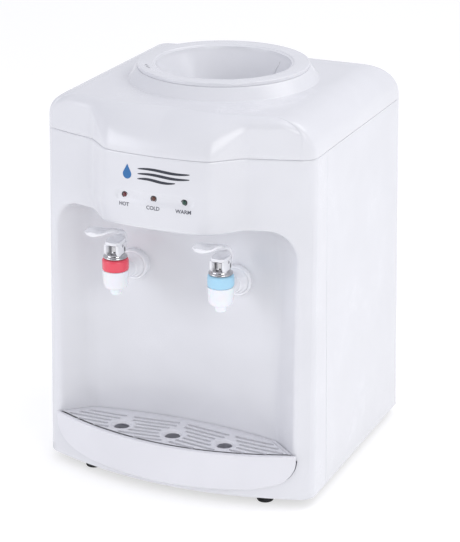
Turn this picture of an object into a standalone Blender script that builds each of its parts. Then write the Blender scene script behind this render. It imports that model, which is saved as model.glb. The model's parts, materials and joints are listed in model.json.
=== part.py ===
"""Countertop hot and cold water dispenser, built as an assembly of separate pieces.

The body frame has X to the right, -Y to the front and +Z up, with Z = 0 on the surface that the
feet stand on.  Every piece hangs from one empty, which shifts the body along Y so that the whole
assembly, levers and drain included, is centred on the origin.
"""
import math

import bmesh
import bpy
import numpy as np
from mathutils import Matrix, Vector

MM = 0.001
GAP = 0.3 * MM                        # clearance kept between pieces that touch

# Casing
BASE_HALF_W = 145.0 * MM              # half width at the foot of the casing
BASE_HALF_D = 141.4 * MM              # half depth at the foot, on the centre line
FOOT_Z = 10.2 * MM                    # underside of the casing
TOP_Z = 391.4 * MM                    # flat top of the cover
SEAM_Z = 353.4 * MM                   # joint between cover and panels
DRAFT_SIDE, DRAFT_FRONT, DRAFT_BACK = 5.6 * MM, 8.0 * MM, 8.2 * MM
FRONT_BOW = 28.5 * MM                 # how far the front corners lie behind its middle
FRONT_CORNER_R, BACK_CORNER_R = 16.0 * MM, 9.0 * MM
TOP_ROLL = 33.0 * MM                  # setback of the rounded top edge, sides and back
WALL = 2.6 * MM
SIDE_SEAM_Y = -74.0 * MM              # front panel meets the side panels
BACK_LAP = 14.0 * MM                  # side panels wrap this far on to the back

# Raised fascia block in the middle of the front
CREST_X, FACIA_FOOT_X = 54.0 * MM, 79.0 * MM
FACIA_RISE_TOP, FACIA_RISE_LOW = 20.0 * MM, 25.0 * MM
FACIA_LOW_Z = 283.0 * MM

# Alcove
ALCOVE_HALF_W = 127.5 * MM
ALCOVE_TOP_Z, ALCOVE_FLOOR_Z = 283.0 * MM, 26.0 * MM
ALCOVE_TOP_R, ALCOVE_LOW_R = 28.0 * MM, 34.0 * MM
ALCOVE_BACK_X, ALCOVE_BACK_Y = 101.0 * MM, -94.9 * MM
ALCOVE_BACK_SAG = 11.1 * MM
ALCOVE_MOUTH_Y = -117.0 * MM

# Collar and bottle seat
COLLAR_Y = 3.0 * MM
SKIRT_BASE_R, SKIRT_TOP_R = 94.2 * MM, 85.5 * MM
SKIRT_H, SEAT_H = 12.0 * MM, 15.7 * MM
MOUTH_R, NECK_R = 69.0 * MM, 29.5 * MM

# Taps
TAP_X, TAP_Y = 55.7 * MM, -128.6 * MM
TAP_PIPE_Z, TAP_TAIL_Y = 218.2 * MM, -70.0 * MM
RING_LOW_Z, RING_TOP_Z, RING_R = 225.7 * MM, 237.7 * MM, 13.0 * MM
PIVOT_Z = 250.5 * MM
LEVER_TIP_Y = -178.0 * MM
LEVER_RISE = 25 * MM

# Drip tray
TRAY_TOP_Z = 57.8 * MM
TRAY_FRONT_Y, TRAY_END_X, TRAY_END_Y = -151.5 * MM, 130.5 * MM, -121.2 * MM
GRILL_T = 2.2 * MM
HOLE_X, HOLE_Y, HOLE_R = 56.3 * MM, -121.8 * MM, 7.6 * MM
GRILL_ROWS, GRILL_ROW_Y, GRILL_PITCH, GRILL_SLOT = 8, -95.5 * MM, 7.2 * MM, 3.6 * MM

# Indicator lights
LED_PITCH, LED_Z, LED_R = 30.6 * MM, 313.0 * MM, 2.3 * MM

# Rear fittings
DRAIN_X, DRAIN_Z, DRAIN_END_Y = -60.0 * MM, 42.0 * MM, 158.0 * MM
SWITCH_X, SWITCH_Z, SWITCH_PITCH = 84.0 * MM, 300.0 * MM, 30.0 * MM
GLAND_X, GLAND_Z = 84.0 * MM, 42.0 * MM
FAN_Z, FAN_HALF = 262.0 * MM, 40.0 * MM

# Water tanks
COLD_TANK_R, COLD_LOW_Z, COLD_TOP_Z = 66 * MM, 222 * MM, 316 * MM
HOT_X, HOT_Y, HOT_R, HOT_LOW_Z, HOT_TOP_Z = -48 * MM, 30 * MM, 42 * MM, 62 * MM, 162 * MM

# The assembly is centred along Y on the span from lever tip to drain cap.
FRAME_SHIFT_Y = -(LEVER_TIP_Y + DRAIN_END_Y) / 2


# ---------------------------------------------------------------- scene, materials and helpers

for old in list(bpy.data.objects):
    bpy.data.objects.remove(old, do_unlink=True)

body_frame = bpy.data.objects.new("body_frame", None)
body_frame.location = (0, FRAME_SHIFT_Y, 0)
bpy.context.scene.collection.objects.link(body_frame)


def finish(name, colour, roughness, metallic=0.0):
    """A Principled material in linear colour."""
    mat = bpy.data.materials.new(name)
    mat.use_nodes = True
    shader = mat.node_tree.nodes["Principled BSDF"]
    shader.inputs["Base Color"].default_value = (*colour, 1)
    shader.inputs["Roughness"].default_value = roughness
    shader.inputs["Metallic"].default_value = metallic
    return mat


CASING = finish("casing_white", (0.83, 0.83, 0.86), 0.32)
TAP_WHITE = finish("tap_white", (0.86, 0.86, 0.88), 0.25)
TRAY_WHITE = finish("tray_white", (0.80, 0.80, 0.84), 0.36)
HOT_RED = finish("hot_ring_red", (0.83, 0.13, 0.18), 0.3)
COLD_BLUE = finish("cold_ring_blue", (0.45, 0.68, 0.85), 0.3)
CHROME = finish("chrome", (0.72, 0.72, 0.74), 0.12, 1.0)
LENS_RED = finish("lens_red", (0.10, 0.01, 0.01), 0.15)
LENS_AMBER = finish("lens_amber", (0.10, 0.03, 0.01), 0.15)
LENS_GREEN = finish("lens_green", (0.01, 0.06, 0.03), 0.15)
BLACK_RUBBER = finish("black_rubber", (0.02, 0.02, 0.02), 0.75)
BLACK_PLASTIC = finish("black_plastic", (0.03, 0.03, 0.03), 0.45)
GREY_SHEET = finish("grey_sheet", (0.62, 0.63, 0.65), 0.45)
STEEL = finish("stainless_steel", (0.55, 0.55, 0.56), 0.3, 1.0)
ALUMINIUM = finish("aluminium", (0.70, 0.70, 0.72), 0.4, 1.0)
FOAM = finish("grey_foam", (0.25, 0.25, 0.27), 0.95)
BOARD = finish("circuit_board", (0.03, 0.18, 0.08), 0.5)
SILICONE = finish("silicone_tube", (0.75, 0.75, 0.72), 0.5)
CERAMIC = finish("ceramic", (0.80, 0.78, 0.72), 0.6)
SWITCH_RED = finish("switch_red", (0.60, 0.03, 0.03), 0.35)
SWITCH_GREEN = finish("switch_green", (0.03, 0.40, 0.10), 0.35)


def add(name, bm, material=None):
    """Turn a bmesh into an object under the body frame, with its faces pointing out."""
    bmesh.ops.recalc_face_normals(bm, faces=bm.faces)
    mesh = bpy.data.meshes.new(name)
    bm.to_mesh(mesh)
    bm.free()
    obj = bpy.data.objects.new(name, mesh)
    bpy.context.scene.collection.objects.link(obj)
    obj.parent = body_frame
    if material:
        mesh.materials.append(material)
    else:
        obj.hide_render = True
        obj.display_type = "WIRE"
    return obj


def pivot_at(obj, point):
    """Move an object's origin to a point without moving its mesh."""
    obj.data.transform(Matrix.Translation(-Vector(point)))
    obj.location = point
    return obj


def loft(name, rings, material=None):
    """Closed solid through rings of equal length, capped at both ends."""
    bm = bmesh.new()
    loops = [[bm.verts.new(p) for p in ring] for ring in rings]
    count = len(loops[0])
    for low, high in zip(loops, loops[1:]):
        for i in range(count):
            j = (i + 1) % count
            bm.faces.new((low[i], low[j], high[j], high[i]))
    bm.faces.new(list(reversed(loops[0])))
    bm.faces.new(loops[-1])
    return add(name, bm, material)


def prism(name, outline, low, high, axis="Z", material=None):
    """Extrude a flat outline along an axis, from low to high."""
    place = {"X": lambda a, b, c: (c, a, b), "Y": lambda a, b, c: (a, c, b),
             "Z": lambda a, b, c: (a, b, c)}[axis]
    return loft(name, [[place(a, b, c) for a, b in outline] for c in (low, high)], material)


def box(name, low, high, material=None):
    return prism(name, [(low[0], low[1]), (high[0], low[1]), (high[0], high[1]),
                        (low[0], high[1])], low[2], high[2], "Z", material)


def turned(name, profile, centre, axis="Z", segments=32, material=None):
    """Revolve a closed (radius, height) profile; points of zero radius lie on the axis."""
    place = {"X": lambda r, a, h: (h, r * math.cos(a), r * math.sin(a)),
             "Y": lambda r, a, h: (r * math.cos(a), h, r * math.sin(a)),
             "Z": lambda r, a, h: (r * math.cos(a), r * math.sin(a), h)}[axis]
    bm = bmesh.new()
    centre = Vector(centre)
    columns = []
    for radius, height in profile:
        if radius == 0:
            columns.append([bm.verts.new(centre + Vector(place(0, 0, height)))] * segments)
        else:
            columns.append([bm.verts.new(centre + Vector(place(radius, math.tau * k / segments,
                                                               height)))
                            for k in range(segments)])
    for first, second in zip(columns, columns[1:] + columns[:1]):
        for k in range(segments):
            n = (k + 1) % segments
            corners = []
            for vert in (first[k], first[n], second[n], second[k]):
                if vert not in corners:
                    corners.append(vert)
            if len(corners) > 2:
                bm.faces.new(corners)
    return add(name, bm, material)


def boolean(obj, cutter, operation="DIFFERENCE"):
    """Cut, join or intersect with a helper object, using the exact solver."""
    modifier = obj.modifiers.new(cutter.name, "BOOLEAN")
    modifier.object = cutter
    modifier.operation = operation
    return obj


def arc(cx, cy, radius, start, end, steps):
    """Points along an arc, angles in degrees, both ends included."""
    return [(cx + radius * math.cos(math.radians(a)), cy + radius * math.sin(math.radians(a)))
            for a in np.linspace(start, end, steps + 1)]


def rounded_rect(x0, y0, x1, y1, radius, steps=4):
    return (arc(x1 - radius, y0 + radius, radius, -90, 0, steps)
            + arc(x1 - radius, y1 - radius, radius, 0, 90, steps)
            + arc(x0 + radius, y1 - radius, radius, 90, 180, steps)
            + arc(x0 + radius, y0 + radius, radius, 180, 270, steps))


def joined(name, bmeshes, material=None):
    """One helper made of several separate closed shapes."""
    whole = bmesh.new()
    for bm in bmeshes:
        mesh = bpy.data.meshes.new("piece")
        bm.to_mesh(mesh)
        bm.free()
        whole.from_mesh(mesh)
        bpy.data.meshes.remove(mesh)
    return add(name, whole, material)


def prism_bmesh(outline, low, high):
    bm = bmesh.new()
    rings = [[bm.verts.new((x, y, z)) for x, y in outline] for z in (low, high)]
    count = len(outline)
    for i in range(count):
        j = (i + 1) % count
        bm.faces.new((rings[0][i], rings[0][j], rings[1][j], rings[1][i]))
    bm.faces.new(list(reversed(rings[0])))
    bm.faces.new(rings[1])
    return bm


# ---------------------------------------------------------------- the casing's outline

def rise(z):
    """How far up the casing a height is, from 0 at its foot to 1 at the flat top."""
    return (z - FOOT_Z) / (TOP_Z - FOOT_Z)


def half_width(z):
    return BASE_HALF_W - DRAFT_SIDE * rise(z)


def back_y(z):
    return BASE_HALF_D - DRAFT_BACK * rise(z)


def facia_rise(z):
    """How far the fascia block stands proud; there is none below the alcove's floor."""
    heights = (ALCOVE_FLOOR_Z + 40 * MM, FACIA_LOW_Z - 8 * MM, SEAM_Z, TOP_Z)
    return float(np.interp(z, heights, (0, FACIA_RISE_LOW, FACIA_RISE_TOP, FACIA_RISE_TOP)))


def front_y(x, z, roll=0.0):
    """Front surface; roll goes from 0 at the seam to 1 at the crease on top."""
    bow = FRONT_BOW * (x / half_width(z)) ** 2
    crest, foot = CREST_X - 6 * MM * roll, FACIA_FOOT_X - 7 * MM * roll
    block = facia_rise(z) * float(np.interp(abs(x), (crest, foot), (1, 0)))
    setback = float(np.interp(abs(x), (0, crest, foot, 120 * MM),
                              (38 * MM, 27 * MM, 10 * MM, 8 * MM)))
    return -BASE_HALF_D + DRAFT_FRONT * rise(z) + bow - block + setback * roll


def front_line(z, inset=0.0, roll=0.0, flat_side_y=None):
    """Right half of the front, from the middle round the corner on to the side."""
    half = half_width(z) - inset - TOP_ROLL * roll
    radius = FRONT_CORNER_R - inset
    end_x = half - 0.666 * radius
    crest, foot = CREST_X - 6 * MM * roll, FACIA_FOOT_X - 7 * MM * roll
    stations = ([crest * k / 3 for k in range(4)]
                + [foot + (end_x - foot) * k / 4 for k in range(5)])
    points = [(x, front_y(x, z, roll) + inset) for x in stations]
    centre_y = points[-1][1] + 0.943 * radius
    points += arc(half - radius, centre_y, radius, -70.5, 0, 4)[1:]
    if flat_side_y is not None:
        points.append((half, flat_side_y))
    return points


def mirrored(points):
    """Complete a right half, listed from the middle outwards, with its left half."""
    left = [(-x, y) for x, y in reversed(points) if x > 1e-9]
    return left + points


def casing_ring(z, inset=0.0, roll=0.0, height=None):
    """Whole outline of the casing at a height."""
    half = half_width(z) - inset - TOP_ROLL * roll
    rear = back_y(z) - inset - TOP_ROLL * roll
    radius = max(BACK_CORNER_R - inset, 3 * MM)
    right = front_line(z, inset, roll) + arc(half - radius, rear - radius, radius, 0, 90, 4)
    return [(x, y, z if height is None else height) for x, y in mirrored(right)]


# ---------------------------------------------------------------- alcove volume

def alcove_plan(grow):
    """Alcove seen from above: splayed sides and a bowed back wall."""
    half, back_x = ALCOVE_HALF_W + grow, ALCOVE_BACK_X + grow
    right = [(0.0, -230 * MM), (half, -230 * MM), (half, ALCOVE_MOUTH_Y + grow)]
    back = [(back_x * k / 6, ALCOVE_BACK_Y + ALCOVE_BACK_SAG * (1 - (k / 6) ** 2) + grow)
            for k in range(6, -1, -1)]
    right += back
    return right + [(-x, y) for x, y in reversed(right) if x > 1e-9]


def alcove_face(grow):
    """Alcove seen from the front, with round corners."""
    half, low, high = ALCOVE_HALF_W + grow, ALCOVE_FLOOR_Z - grow, ALCOVE_TOP_Z + grow
    low_r, top_r = ALCOVE_LOW_R + grow, ALCOVE_TOP_R + grow
    right = (arc(half - low_r, low + low_r, low_r, -90, 0, 6)
             + arc(half - top_r, high - top_r, top_r, 0, 90, 6))
    return right + [(-x, z) for x, z in reversed(right)]


def alcove_volume(name, grow):
    """Solid that fills the alcove, grown by a wall thickness."""
    solid = prism(name, alcove_plan(grow), 0, TOP_Z)
    face = prism(name + "_face", alcove_face(grow), -240 * MM, -60 * MM, "Y")
    return boolean(solid, face, "INTERSECT")


# ---------------------------------------------------------------- casing panels

def make_front_panel():
    """Front moulding: bowed face, fascia block and alcove in one skin."""
    heights = (FOOT_Z, ALCOVE_FLOOR_Z + 40 * MM, FACIA_LOW_Z - 8 * MM, SEAM_Z - GAP)
    rings = [[(x, y, z) for x, y in mirrored(front_line(z, 0, 0, SIDE_SEAM_Y))]
             for z in heights]
    panel = loft("front_panel", rings, CASING)
    inner_z = (FOOT_Z - 5 * MM, heights[1], heights[2], SEAM_Z + 5 * MM)
    hollow = loft("front_hollow", [[(x, y, z) for x, y in
                                    mirrored(front_line(z, WALL, 0, SIDE_SEAM_Y + 5 * MM))]
                                   for z in inner_z])
    boolean(hollow, alcove_volume("alcove_skin", WALL))
    boolean(panel, hollow)
    boolean(panel, alcove_volume("alcove_space", 0))
    for side in (-1, 1):
        x = side * TAP_X
        hole = turned(f"tap_hole_{side}", [(0, -100 * MM), (8.6 * MM, -100 * MM),
                                           (8.6 * MM, -70 * MM), (0, -70 * MM)],
                      (x, 0, TAP_PIPE_Z), "Y", 20)
        boolean(panel, hole)
    for k in (-1, 0, 1):
        hole = turned(f"led_hole_{k}", [(0, -175 * MM), (LED_R + GAP, -175 * MM),
                                        (LED_R + GAP, -140 * MM), (0, -140 * MM)],
                      (k * LED_PITCH, 0, LED_Z), "Y", 16)
        boolean(panel, hole)
    return panel


def make_side_panel(name, side):
    """Side skin that wraps round the rear corner on to the back."""
    rings = []
    for z in (FOOT_Z, SEAM_Z - GAP):
        outer_x, rear, radius = half_width(z), back_y(z), BACK_CORNER_R
        outer = ([(outer_x, SIDE_SEAM_Y + GAP)]
                 + arc(outer_x - radius, rear - radius, radius, 0, 90, 4)
                 + [(outer_x - BACK_LAP, rear)])
        inner = ([(outer_x - BACK_LAP, rear - WALL)]
                 + arc(outer_x - radius, rear - radius, radius - WALL, 90, 0, 4)
                 + [(outer_x - WALL, SIDE_SEAM_Y + GAP)])
        rings.append([(side * x, y, z) for x, y in outer + inner])
    return loft(name, rings, CASING)


def make_back_panel():
    """Painted sheet back with vents, fan grille and holes for its fittings."""
    rings = []
    for z in (FOOT_Z, SEAM_Z - GAP):
        half, rear = half_width(z) - BACK_LAP - GAP, back_y(z)
        rings.append([(-half, rear - WALL, z), (half, rear - WALL, z),
                      (half, rear, z), (-half, rear, z)])
    panel = loft("back_panel", rings, GREY_SHEET)
    slots = []
    for row in range(7):
        z = FAN_Z - 30 * MM + row * 10 * MM
        half = math.sqrt(max((36 * MM) ** 2 - (z - FAN_Z) ** 2, (8 * MM) ** 2))
        for side in (-1, 1):
            edges = sorted((side * 2 * MM, side * half))
            slots.append(((edges[0], z - 2 * MM), (edges[1], z + 2 * MM)))
    for row in range(6):
        z = 100 * MM + row * 12 * MM
        for centre in (-40 * MM, 0, 40 * MM):
            slots.append(((centre - 16 * MM, z - 2 * MM), (centre + 16 * MM, z + 2 * MM)))
    shapes = []
    for (x0, z0), (x1, z1) in slots:
        bm = prism_bmesh([(x0, 120 * MM), (x1, 120 * MM), (x1, 150 * MM), (x0, 150 * MM)], z0, z1)
        shapes.append(bm)
    boolean(panel, joined("vent_slots", shapes))
    round_holes = (("drain_hole", DRAIN_X, DRAIN_Z, 9.4 * MM),
                   ("gland_hole", GLAND_X, GLAND_Z, 7.4 * MM))
    for name, x, z, radius in round_holes:
        boolean(panel, turned(name, [(0, 120 * MM), (radius, 120 * MM), (radius, 150 * MM),
                                     (0, 150 * MM)], (x, 0, z), "Y", 24))
    window = box("switch_window", (SWITCH_X - 25.4 * MM, 120 * MM, SWITCH_Z - 15.4 * MM),
                 (SWITCH_X + 25.4 * MM, 150 * MM, SWITCH_Z + 15.4 * MM))
    return boolean(panel, window)


def make_base_pan():
    """Shallow tray that closes the underside and carries the feet."""
    pan = loft("base_pan", [casing_ring(z, WALL + GAP) for z in (FOOT_Z + GAP, 21 * MM)],
               BLACK_PLASTIC)
    hollow = loft("base_hollow", [casing_ring(z, 2 * WALL + GAP) for z in (14 * MM, 30 * MM)])
    boolean(pan, hollow)
    vents = [prism_bmesh([(x - 3 * MM, -30 * MM), (x + 3 * MM, -30 * MM), (x + 3 * MM, 60 * MM),
                          (x - 3 * MM, 60 * MM)], 5 * MM, 30 * MM)
             for x in (-30 * MM, -10 * MM, 10 * MM, 30 * MM)]
    return boolean(pan, joined("base_vents", vents))


def make_foot(name, x, y):
    profile = [(0, 0), (6.6 * MM, 0), (7.6 * MM, 1.2 * MM), (8.4 * MM, FOOT_Z),
               (0, FOOT_Z)]
    return turned(name, profile, (x, y, 0), "Z", 16, BLACK_RUBBER)


def make_top_cover():
    """Cover with rolled edges and the raised collar that the bottle seat rests on."""
    steps = (0, 18, 36, 54, 72, 90)
    rings = []
    for degrees in steps:
        angle = math.radians(degrees)
        z = SEAM_Z + (TOP_Z - SEAM_Z) * math.sin(angle)
        rings.append(casing_ring(z, 0, 1 - math.cos(angle)))
    cover = loft("top_cover", rings, CASING)
    skirt = turned("collar_skirt", [(0, TOP_Z - 2 * MM), (SKIRT_BASE_R + 1.4 * MM, TOP_Z - 2 * MM),
                                    (SKIRT_TOP_R, TOP_Z + SKIRT_H), (0, TOP_Z + SKIRT_H)],
                   (0, COLLAR_Y, 0), "Z", 48)
    boolean(cover, skirt, "UNION")
    inner = []
    for degrees in steps:
        angle = math.radians(degrees)
        z = SEAM_Z + (TOP_Z - WALL - SEAM_Z) * math.sin(angle)
        low = SEAM_Z - 4 * MM if degrees == 0 else z
        inner.append(casing_ring(z, WALL, 1 - math.cos(angle), low))
    boolean(cover, loft("cover_hollow", inner))
    bore = [(0, TOP_Z - 20 * MM), (SKIRT_BASE_R - 3.2 * MM, TOP_Z - 20 * MM),
            (SKIRT_BASE_R - 3.2 * MM, TOP_Z), (SKIRT_TOP_R - 3.2 * MM, TOP_Z + SKIRT_H - 2 * MM),
            (SKIRT_TOP_R - 3.2 * MM, TOP_Z + 30 * MM), (0, TOP_Z + 30 * MM)]
    return boolean(cover, turned("collar_bore", bore, (0, COLLAR_Y, 0), "Z", 48))


# ---------------------------------------------------------------- bottle seat

def make_bottle_seat():
    """Lift-out funnel: flat rim, bell mouth and a straight neck for the bottle."""
    rim_low, rim_top = TOP_Z + SKIRT_H + GAP, TOP_Z + SEAT_H
    bell = [(MOUTH_R - 1.5 * MM, rim_top - 1.5 * MM)]
    depth = 76 * MM
    for k in range(1, 7):
        t = k / 6
        radius = NECK_R + (MOUTH_R - 2.5 * MM - NECK_R) * (1 - t) ** 0.8
        bell.append((radius, rim_top - 3 * MM - depth * t ** 0.9))
    neck_z = bell[-1][1] - 22 * MM
    outer = [(r + WALL, z - 1.2 * MM) for r, z in bell]
    profile = ([(MOUTH_R, rim_top)] + bell
               + [(NECK_R, neck_z), (NECK_R + WALL, neck_z)] + list(reversed(outer))
               + [(78 * MM, rim_low - 1 * MM), (78 * MM, rim_low - 8 * MM),
                  (81.4 * MM, rim_low - 8 * MM), (81.4 * MM, rim_low),
                  (SKIRT_TOP_R - 0.8 * MM, rim_low), (SKIRT_TOP_R - 0.8 * MM, rim_top - 1.2 * MM),
                  (SKIRT_TOP_R - 2 * MM, rim_top)])
    seat = turned("bottle_seat", profile, (0, COLLAR_Y, 0), "Z", 40, CASING)
    return pivot_at(seat, (0, COLLAR_Y, rim_low)), neck_z


def make_seat_seal(neck_z):
    """Square-section ring that seals the neck in the cold tank's lid."""
    low = neck_z + 4 * MM
    inner, outer = NECK_R + WALL + 0.4 * MM, NECK_R + WALL + 5 * MM
    seal = turned("seat_seal", [(inner, low), (outer, low), (outer, low + 4 * MM),
                                (inner, low + 4 * MM)], (0, COLLAR_Y, 0), "Z", 28, BLACK_RUBBER)
    return pivot_at(seal, (0, COLLAR_Y, low))


# ---------------------------------------------------------------- taps

def make_tap(label, side, ring_finish):
    """One press-down tap: flange, body, coloured ring, bonnet, stem, pin and lever."""
    x = side * TAP_X
    axis = (x, TAP_Y, 0)
    turned(f"{label}_tap_flange", [(8.5 * MM, -93.4 * MM), (14.2 * MM, -93.4 * MM),
                                   (15.5 * MM, -92.2 * MM), (15.5 * MM, -89.7 * MM),
                                   (8.5 * MM, -89.7 * MM)],
           (x, 0, TAP_PIPE_Z), "Y", 24, TAP_WHITE)

    body = turned(f"{label}_tap_body", [(0, 200.5 * MM), (5.8 * MM, 200.5 * MM),
                                        (6.4 * MM, 207 * MM), (11.6 * MM, 208.6 * MM),
                                        (12.4 * MM, 225.4 * MM), (9.6 * MM, 225.4 * MM),
                                        (9.6 * MM, RING_TOP_Z), (0, RING_TOP_Z)],
                  axis, "Z", 24, TAP_WHITE)
    barrel = turned(f"{label}_barrel", [(0, TAP_Y), (8.2 * MM, TAP_Y),
                                        (8.2 * MM, TAP_TAIL_Y), (0, TAP_TAIL_Y)],
                    (x, 0, TAP_PIPE_Z), "Y", 20)
    boolean(body, barrel, "UNION")
    seat = turned(f"{label}_ring_seat", [(9.6 * MM, RING_LOW_Z - GAP), (14 * MM, RING_LOW_Z - GAP),
                                         (14 * MM, 240 * MM), (9.6 * MM, 240 * MM)],
                  axis, "Z", 28)
    boolean(body, seat)
    bore = turned(f"{label}_spout_bore", [(0, 190 * MM), (4.2 * MM, 190 * MM),
                                          (4.2 * MM, 214 * MM), (0, 214 * MM)], axis, "Z", 16)
    boolean(body, bore)
    stem_bore = turned(f"{label}_stem_bore", [(0, 216 * MM), (2.9 * MM, 216 * MM),
                                              (2.9 * MM, 240 * MM), (0, 240 * MM)],
                       axis, "Z", 12)
    boolean(body, stem_bore)

    turned(f"{label}_ring", [(9.9 * MM, RING_LOW_Z), (12.4 * MM, RING_LOW_Z),
                             (RING_R, RING_LOW_Z + 1 * MM), (RING_R, RING_TOP_Z - 1 * MM),
                             (12.4 * MM, RING_TOP_Z), (9.9 * MM, RING_TOP_Z)],
           axis, "Z", 24, ring_finish)

    bonnet_z = RING_TOP_Z + GAP
    bonnet = turned(f"{label}_bonnet", [(2.9 * MM, bonnet_z), (11.6 * MM, bonnet_z),
                                        (11.4 * MM, bonnet_z + 1.6 * MM),
                                        (9.2 * MM, bonnet_z + 3.2 * MM),
                                        (4.9 * MM, bonnet_z + 4.6 * MM),
                                        (4.6 * MM, PIVOT_Z + 4 * MM),
                                        (2.9 * MM, PIVOT_Z + 4 * MM)], axis, "Z", 20, CHROME)
    pin_hole = turned(f"{label}_pin_hole", [(0, -9 * MM), (1.7 * MM, -9 * MM),
                                            (1.7 * MM, 9 * MM), (0, 9 * MM)],
                      (x, TAP_Y, PIVOT_Z), "X", 12)
    boolean(bonnet, pin_hole)

    pin = turned(f"{label}_lever_pin", [(0, -8.6 * MM), (1.4 * MM, -8.6 * MM),
                                        (1.4 * MM, 8.6 * MM), (0, 8.6 * MM)],
                 (x, TAP_Y, PIVOT_Z), "X", 12, STEEL)
    pivot_at(pin, (x, TAP_Y, PIVOT_Z))

    stem = turned(f"{label}_valve_stem", [(0, 217 * MM), (2.5 * MM, 217 * MM),
                                          (2.5 * MM, PIVOT_Z - 5.5 * MM), (0, PIVOT_Z - 5.5 * MM)],
                  axis, "Z", 12, SILICONE)
    pivot_at(stem, (x, TAP_Y, 217 * MM))

    make_lever(f"{label}_lever", x)


def make_lever(name, x):
    """Lever cap with two cheeks over the pin and a dished paddle to the front."""
    cheek = ([(TAP_Y - 10.5 * MM, PIVOT_Z - 5 * MM)]
             + arc(TAP_Y, PIVOT_Z, 9.2 * MM, -62, 62, 5)
             + [(TAP_Y - 9 * MM, PIVOT_Z + 9.5 * MM)])
    lever = prism(name, cheek, x - 8.2 * MM, x + 8.2 * MM, "X", TAP_WHITE)
    root_y, root_z = TAP_Y - 6 * MM, PIVOT_Z + 3 * MM
    rings = []
    for t, half, thick in ((0, 6.5, 8.5), (0.25, 5.6, 5.5), (0.45, 7.2, 4.2), (0.7, 8.9, 3.4),
                           (0.88, 8.4, 3.0), (1, 5.0, 2.2)):
        y = root_y + (LEVER_TIP_Y - root_y) * t
        z = root_z + LEVER_RISE * t
        half, thick = half * MM, thick * MM
        rings.append([(x - half, y, z), (x, y, z - thick * 0.75), (x + half, y, z),
                      (x + half * 0.8, y, z + thick * 0.5), (x, y, z + thick * 0.34),
                      (x - half * 0.8, y, z + thick * 0.5)])
    boolean(lever, loft(name + "_paddle", rings), "UNION")
    slot = box(name + "_slot", (x - 5.1 * MM, TAP_Y - 7 * MM, PIVOT_Z - 20 * MM),
               (x + 5.1 * MM, TAP_Y + 20 * MM, PIVOT_Z + 5.4 * MM))
    boolean(lever, slot)
    pin_hole = turned(name + "_hole", [(0, -12 * MM), (1.7 * MM, -12 * MM),
                                       (1.7 * MM, 12 * MM), (0, 12 * MM)],
                      (x, TAP_Y, PIVOT_Z), "X", 12)
    boolean(lever, pin_hole)
    return pivot_at(lever, (x, TAP_Y, PIVOT_Z))


# ---------------------------------------------------------------- drip tray

def tray_front_y(x, back=0.0):
    """Bowed front of the tray; back moves the curve towards the rear."""
    return TRAY_FRONT_Y + (TRAY_END_Y - TRAY_FRONT_Y) * (x / TRAY_END_X) ** 2 + back


def tray_plan(shrink, front_back, front_half):
    """Tray seen from above, inside the alcove, out to a bowed front."""
    half, back_x = ALCOVE_HALF_W - shrink, ALCOVE_BACK_X - shrink
    front = [(front_half * k / 8, tray_front_y(front_half * k / 8, front_back))
             for k in range(9)]
    side_y = max(ALCOVE_MOUTH_Y - shrink, front[-1][1] + 1 * MM)
    right = front + [(half, side_y)]
    right += [(back_x * k / 6, ALCOVE_BACK_Y + ALCOVE_BACK_SAG * (1 - (k / 6) ** 2) - shrink)
              for k in range(6, -1, -1)]
    return right + [(-x, y) for x, y in reversed(right) if x > 1e-9]


def make_tray():
    """Basin that slides into the alcove, with a bowed front and a ledge for the grill."""
    clear = 0.8 * MM
    tray = prism("drip_tray", tray_plan(clear, 6 * MM, 122 * MM), 20 * MM, TRAY_TOP_Z,
                 "Z", TRAY_WHITE)
    boolean(tray, prism("tray_section", alcove_face(-clear), -240 * MM, -60 * MM, "Y"),
            "INTERSECT")
    half = TRAY_END_X
    outline = ([(half * k / 6, 18 * MM + 6 * MM * (k / 6) ** 2.2) for k in range(5)]
               + arc(half - 26 * MM, 25 * MM + 26 * MM, 26 * MM, -72, 0, 5)
               + [(half, TRAY_TOP_Z)])
    face = outline + [(-a, b) for a, b in reversed(outline) if a > 1e-9]
    facia = prism("tray_facia", face, -170 * MM, -100 * MM, "Y")
    curve = [(136 * MM * k / 8, tray_front_y(136 * MM * k / 8)) for k in range(9)]
    rear = [(x, front_y(x, FOOT_Z) - GAP * 2) for x in
            [136 * MM * k / 8 for k in range(8, -1, -1)]]
    plan = curve + rear
    plan = plan + [(-x, y) for x, y in reversed(plan) if x > 1e-9]
    boolean(facia, prism("tray_facia_plan", plan, 0, 100 * MM), "INTERSECT")
    boolean(tray, facia, "UNION")
    basin = prism("basin", tray_plan(6 * MM, 8 * MM, 118 * MM), 30 * MM, 80 * MM)
    boolean(basin, prism("basin_section", alcove_face(-4 * MM), -240 * MM, -60 * MM, "Y"),
            "INTERSECT")
    boolean(tray, basin)
    recess = prism("grill_recess", tray_plan(3 * MM, 3.4 * MM, 121 * MM),
                   TRAY_TOP_Z - GRILL_T - GAP, 80 * MM)
    boolean(tray, recess)
    return tray


def slot_row_y(x, row):
    """Centre line of a row of slots, counted from the back; it bows like the alcove's back wall."""
    bow = math.sin(min(abs(x) / (100 * MM), 1) * math.pi / 2)
    return GRILL_ROW_Y - GRILL_PITCH * row - 9 * MM * bow


def slot_fits(x, row):
    """Whether a slot may pass here: inside the border and clear of the ribs and the holes."""
    y = slot_row_y(x, row)
    holes = [math.hypot(x - k * HOLE_X, y - HOLE_Y) for k in (-1, 0, 1)]
    ribs = [abs(x - k * HOLE_X) for k in (-1, 0, 1)]
    side = 101 * MM - 1.11 * (y + 104 * MM)
    front = tray_front_y(x, 5 * MM)
    return y > front and abs(x) < side and min(holes) > HOLE_R + 5.5 * MM and min(ribs) > 3 * MM


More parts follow.
